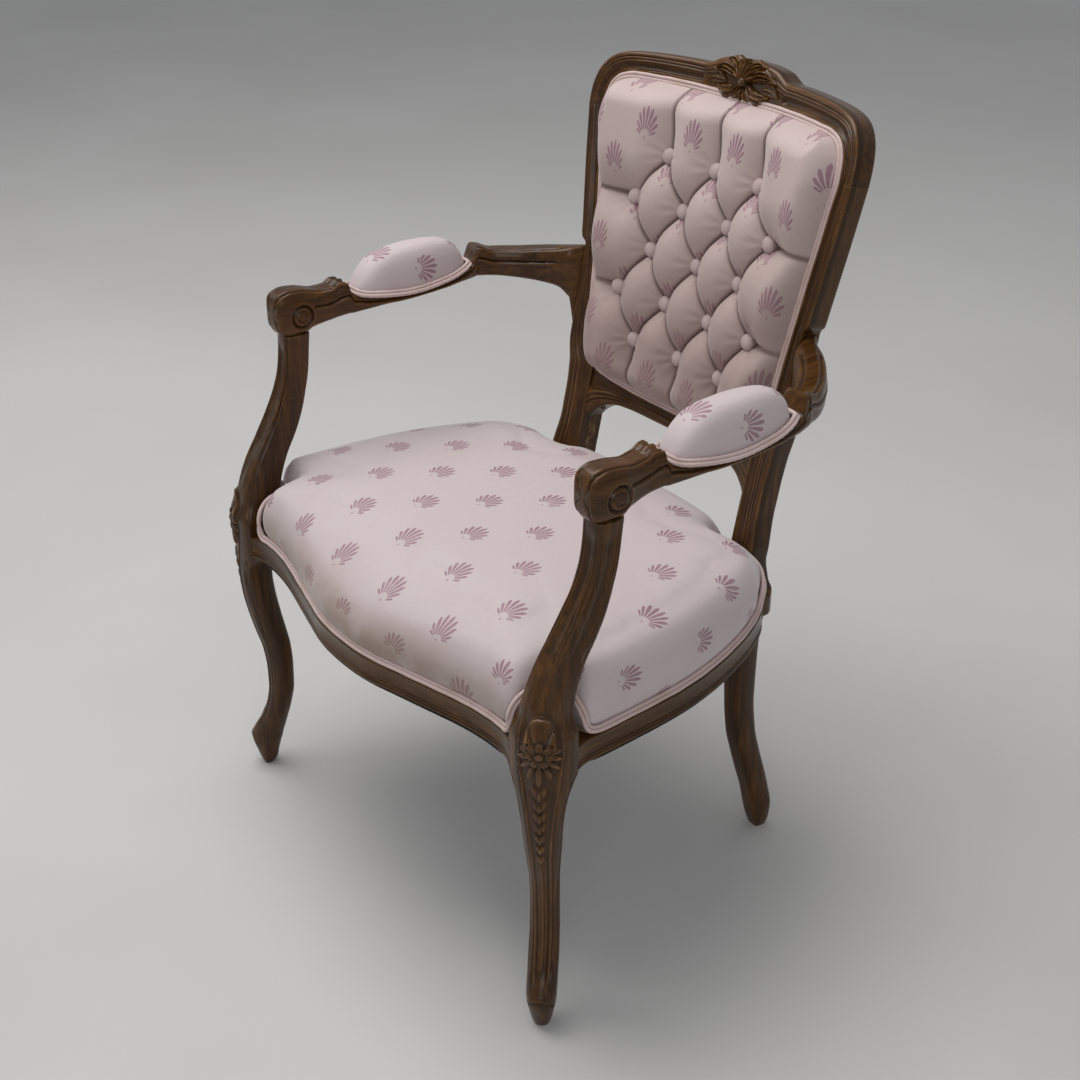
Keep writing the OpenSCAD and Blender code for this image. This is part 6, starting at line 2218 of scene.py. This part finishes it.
    def build(self) -> None:
        """Makes the whole back."""
        c = CHAIR
        p = self.palette
        self.straps()
        web = c.ledge_front - self.strap_t - c.gap
        sheet, under = (self.grid(4, c.cloth_t + 2 * c.gap, 0, d) for d in (web - 1.0, web))
        burlap = Skin().cloth(sheet, under).piece("back_burlap_sheet", p.burlap, "back_burlap")
        self.area(sheet)
        inside = c.cloth_t + 1.5
        pad, bed = self.grid(self.fine, inside, inside), self.grid(self.fine, inside, 0, web - 1.3)
        foam = Skin().cloth(pad, bed, self.folded).piece("back_padding", p.foam, "back_foam")
        top, under = self.grid(self.fine, 0, 0), self.grid(self.fine, c.cloth_t, c.cloth_t)
        # The cover carries the fold mark, which paints shade in its folds.
        skin = Skin().cloth(top, under, self.folded, self.fold_shade_mark(top))
        cover = skin.piece("back_cover_buttoned", p.back, "back_cover", sharp=100)
        mapped(cover, self.lay)
        buttons = self.button_skin().piece("back_buttons_covered", p.buttons, "back_buttons", sharp=60)
        mapped(buttons, self.lay)
        self.welt("back_double_welt", "back_welt", -0.5, -1.0)
        outer, under = (self.grid(6, 0, 0, c.ledge_back + c.gap + d) for d in (2 * c.cloth_t, 0))
        out = Skin().cloth(outer, under).piece("outside_back_sheet", p.plain, "outside_back_cover")
        self.area(outer)
        self.welt("outside_back_double_welt", "outside_back_welt", c.ledge_back + c.welt_d / 2 + 3 * c.gap, 1.0)


@dataclass
class ArmPads:
    """Pads on the arms: padding, cover and double welt."""

    arms: Arms
    palette: Palette
    front: float = 0.225
    rear: float = 0.662
    foam_in: float = 2.8
    cell: float = 0.0035
    most: float = 0.0035
    fold_x: float = 301.0
    fold_z: float = 695.0
    rows: tuple = (
        (0.000, 0.66, 0.10), (0.020, 0.74, 0.22), (0.060, 0.83, 0.42), (0.130, 0.93, 0.66), (0.230, 1.00, 0.86),
        (0.360, 1.00, 0.97), (0.500, 1.00, 1.00), (0.640, 0.97, 0.97), (0.770, 0.92, 0.90), (0.870, 0.84, 0.76),
        (0.940, 0.75, 0.54), (0.980, 0.66, 0.30), (1.000, 0.58, 0.12),
    )

    def spine(self, v: Array) -> tuple[Array, Array, Array, Array, Array]:
        """Middle, base height, half width and height of the pad at shares of its length.

        Args:
            v: shares of the length.

        Returns:
            Places across, places along, base height, half width and height.
        """
        c = CHAIR
        k = self.front + (self.rear - self.front) * v
        row = self.arms.at(k)
        x = c.arm_half - (c.arm_half - c.arm_plane) * row[:, 0]
        y = c.post_sweep + self.arms.run * k
        z = c.arm_seam + c.scroll_h * row[:, 4] + c.gap
        wide, tall = faired(self.rows, v).T
        return x, y, z, c.scroll_w * row[:, 2] * wide, c.pad_h * tall

    def rings(self, shrink: float, count: int, round_: int) -> Array:
        """Rings across the pad, each closed under it.

        Args:
            shrink: distance inside the cover.
            count: rings along the pad.
            round_: points round each ring.

        Returns:
            The rings.
        """
        v = 0.5 - 0.5 * np.cos(np.linspace(0, math.pi, count))
        x, y, z, half, tall = (w[:, None] for w in self.spine(v))
        end = np.clip(1 - np.abs(2 * v - 1)[:, None] ** 9, 0, 1) ** 0.5
        a = np.linspace(0, math.pi, round_)[None]
        u = -np.cos(a)
        bulge = np.sign(u) * np.abs(u) ** 0.62
        up = np.sin(a) ** 0.78
        wide = half * (0.72 + 0.28 * end) - shrink
        top = np.stack([x + wide * bulge, y + 0 * up, z + np.maximum(tall - shrink, 0.4) * up], -1)
        under = np.stack([x + wide * np.linspace(0.94, -0.94, 9)[None], y + 0 * a[:, :9], z + 0 * a[:, :9]], -1)
        return np.concatenate([top, under], 1)

    def lay(self, points: Array, normals: Array) -> Array:
        """Places on the flat cloth: the top as it lies, the sides folded out.

        Args:
            points: world points, in metres.
            normals: their directions.

        Returns:
            Places on the cloth, in millimetres.
        """
        side = np.sign(points[:, 0])
        x = np.abs(points[:, 0]) * 1000
        drop = np.maximum(0, self.fold_z - points[:, 2] * 1000) * (1 - eased(normals[:, 2], 0.3, 0.9))
        across = (x - self.fold_x) * side
        return np.stack([across + np.sign(across) * drop * 0.8, points[:, 1] * 1000], 1)

    def tacked(self, points: Array) -> Array:
        """Grip of the pad's tacks along its foot.

        Args:
            points: world points, in metres.

        Returns:
            Grip at each point, from 0 to 1.
        """
        _, y, z, _, _ = self.spine(np.linspace(0, 1, 60))
        foot = np.interp(points[:, 1] * 1000 + CHAIR.mid_y, y, z)
        return 1 - eased(points[:, 2] * 1000 - foot, 4.0, 12.0)

    def welt(self) -> Skin:
        """Double welt round the pad's foot.

        Returns:
            The welt's surface.
        """
        c = CHAIR
        v = np.linspace(0, 1, 34)
        x, y, z, half, _ = self.spine(v)
        half = half + c.welt_d / 2 + 3 * c.gap
        lift = c.welt_d / 2
        right, left = np.stack([x + half, y, z + lift], 1), np.stack([x - half, y, z + lift], 1)
        end, tuck = c.welt_d * 0.68, c.welt_d * 0.28
        path = np.vstack([left[0] + [tuck, -end, 2], right[0] + [-tuck, -end, 2], right,
                          right[-1] + [-tuck, end, 2], left[-1] + [tuck, end, 2], left[::-1]])
        path = cornered(path, 2)
        return Welt().strip(path, outward(path, 2) * 0.75 + [0, 0, 0.65])

    def build(self) -> None:
        """Makes both pads."""
        p = self.palette
        for side, name in SIDES:
            skin = Skin().rings(self.rings(self.foam_in, 30, 17))
            skin.piece(f"arm_padding_{name}", p.foam, f"arm_pad_foam_{name}", side)
            skin = Skin().rings(self.rings(0.0, 60, 33))
            cover = skin.piece(f"arm_pad_{name}_cover_sewn", p.pads, f"arm_pad_cover_{name}", side, 75)
            swollen(cover, self.cell, self.most, self.tacked)
            mapped(cover, self.lay)
            self.welt().piece(f"arm_pad_{name}_double_welt", p.piping, f"arm_pad_welt_{name}", side, 80)


# ---------------------------------------------------------------- the room


@dataclass(frozen=True)
class Lamp:
    """Soft square lamp that looks at the chair."""

    name: str
    place: Place
    size: float
    power: float
    tint: Colour = (1.0, 1.0, 1.0)
    target: Place = (0.0, 0.0, 0.45)

    def build(self) -> None:
        """Hangs the lamp."""
        light = bpy.data.lights.new(self.name, "AREA")
        light.size, light.energy, light.color = self.size, self.power, self.tint
        thing = bpy.data.objects.new(self.name, light)
        bpy.context.scene.collection.objects.link(thing)
        way = np.array(self.place) - np.array(self.target)
        thing.location = self.place
        lean, turn = math.acos(way[2] / np.linalg.norm(way)), math.atan2(way[1], way[0]) + math.pi / 2
        thing.rotation_euler = (lean, 0.0, turn)


@dataclass(frozen=True)
class Studio:
    """Pale floor, soft light and the camera."""

    eye: Place = (1.4645, -1.1237, 1.400)
    turn: float = 53.11
    dip: float = 28.455
    lens: float = 56.81
    floor_half: float = 6.0
    lamps: tuple = (
        Lamp("key", (-0.7, -0.35, 3.2), 2.2, 66.0, (1.0, 0.99, 0.975)),
        Lamp("fill", (2.8, -2.0, 1.9), 1.8, 19.0, (0.98, 0.99, 1.0)),
        Lamp("side", (-2.8, -1.4, 1.8), 1.8, 8.0, (1.0, 0.99, 0.98)),
    )

    def camera(self) -> None:
        """Sets the camera at the photograph's angle."""
        data = bpy.data.cameras.new("camera")
        data.sensor_width, data.lens = 36.0, self.lens
        thing = bpy.data.objects.new("camera", data)
        bpy.context.scene.collection.objects.link(thing)
        thing.location = self.eye
        thing.rotation_euler = (math.radians(90 - self.dip), 0.0, math.radians(self.turn))
        bpy.context.scene.camera = thing

    def floor(self) -> None:
        """Lays the floor."""
        mesh = bpy.data.meshes.new("floor")
        s = self.floor_half
        mesh.from_pydata([(-s, -s, 0), (s, -s, 0), (s, s, 0), (-s, s, 0)], [], [(0, 1, 2, 3)])
        thing = bpy.data.objects.new("floor", mesh)
        bpy.context.scene.collection.objects.link(thing)
        mesh.materials.append(Plaster().material())

    def sky(self) -> None:
        """Gives a pale surround to what looks past the floor, and a gentle light."""
        world = bpy.data.worlds.new("surround")
        world.use_nodes = True
        bpy.context.scene.world = world
        tree = world.node_tree
        shade = tree.nodes["Background"]
        shade.inputs["Color"].default_value = (0.86, 0.88, 0.92, 1.0)
        shade.inputs["Strength"].default_value = 0.36
        seen = tree.nodes.new("ShaderNodeBackground")
        seen.inputs["Color"].default_value = (0.70, 0.71, 0.73, 1.0)
        path = tree.nodes.new("ShaderNodeLightPath")
        mix = tree.nodes.new("ShaderNodeMixShader")
        tree.links.new(path.outputs["Is Camera Ray"], mix.inputs[0])
        tree.links.new(shade.outputs[0], mix.inputs[1])
        tree.links.new(seen.outputs[0], mix.inputs[2])
        tree.links.new(mix.outputs[0], tree.nodes["World Output"].inputs["Surface"])

    def build(self) -> None:
        """Sets up the studio."""
        bpy.context.scene.view_settings.view_transform = "Standard"
        self.camera()
        self.floor()
        self.sky()
        for lamp in self.lamps:
            lamp.build()


def main() -> None:
    """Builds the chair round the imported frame."""
    logging.basicConfig(level=logging.INFO, format="%(message)s")
    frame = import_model()
    Studio().build()
    palette = Palette()
    section = Moulding()
    rails = SeatRails(palette.rail, palette.arm)
    arms = Arms(palette.arm)
    for part in (
        FrontPosts(palette.post), RearPosts(palette.post, section), Crest(palette.rail, section),
        LowerBackRail(palette.rail, section), rails, arms, Seat(rails, palette), Back(palette),
        ArmPads(arms, palette),
    ):
        part.build()
        LOG.info("built %s", type(part).__name__)
    for node, finish in (
        ("rear_seat_rail", palette.plank), ("corner_blocks", palette.block), ("corner_block_screws", palette.steel),
        ("seat_rail_dowels", palette.dowel), ("back_frame_dowels", palette.plank), ("arm_dowels", palette.plank),
    ):
        finish.dress(frame["nodes"][node])


if __name__ == "__main__":
    main()
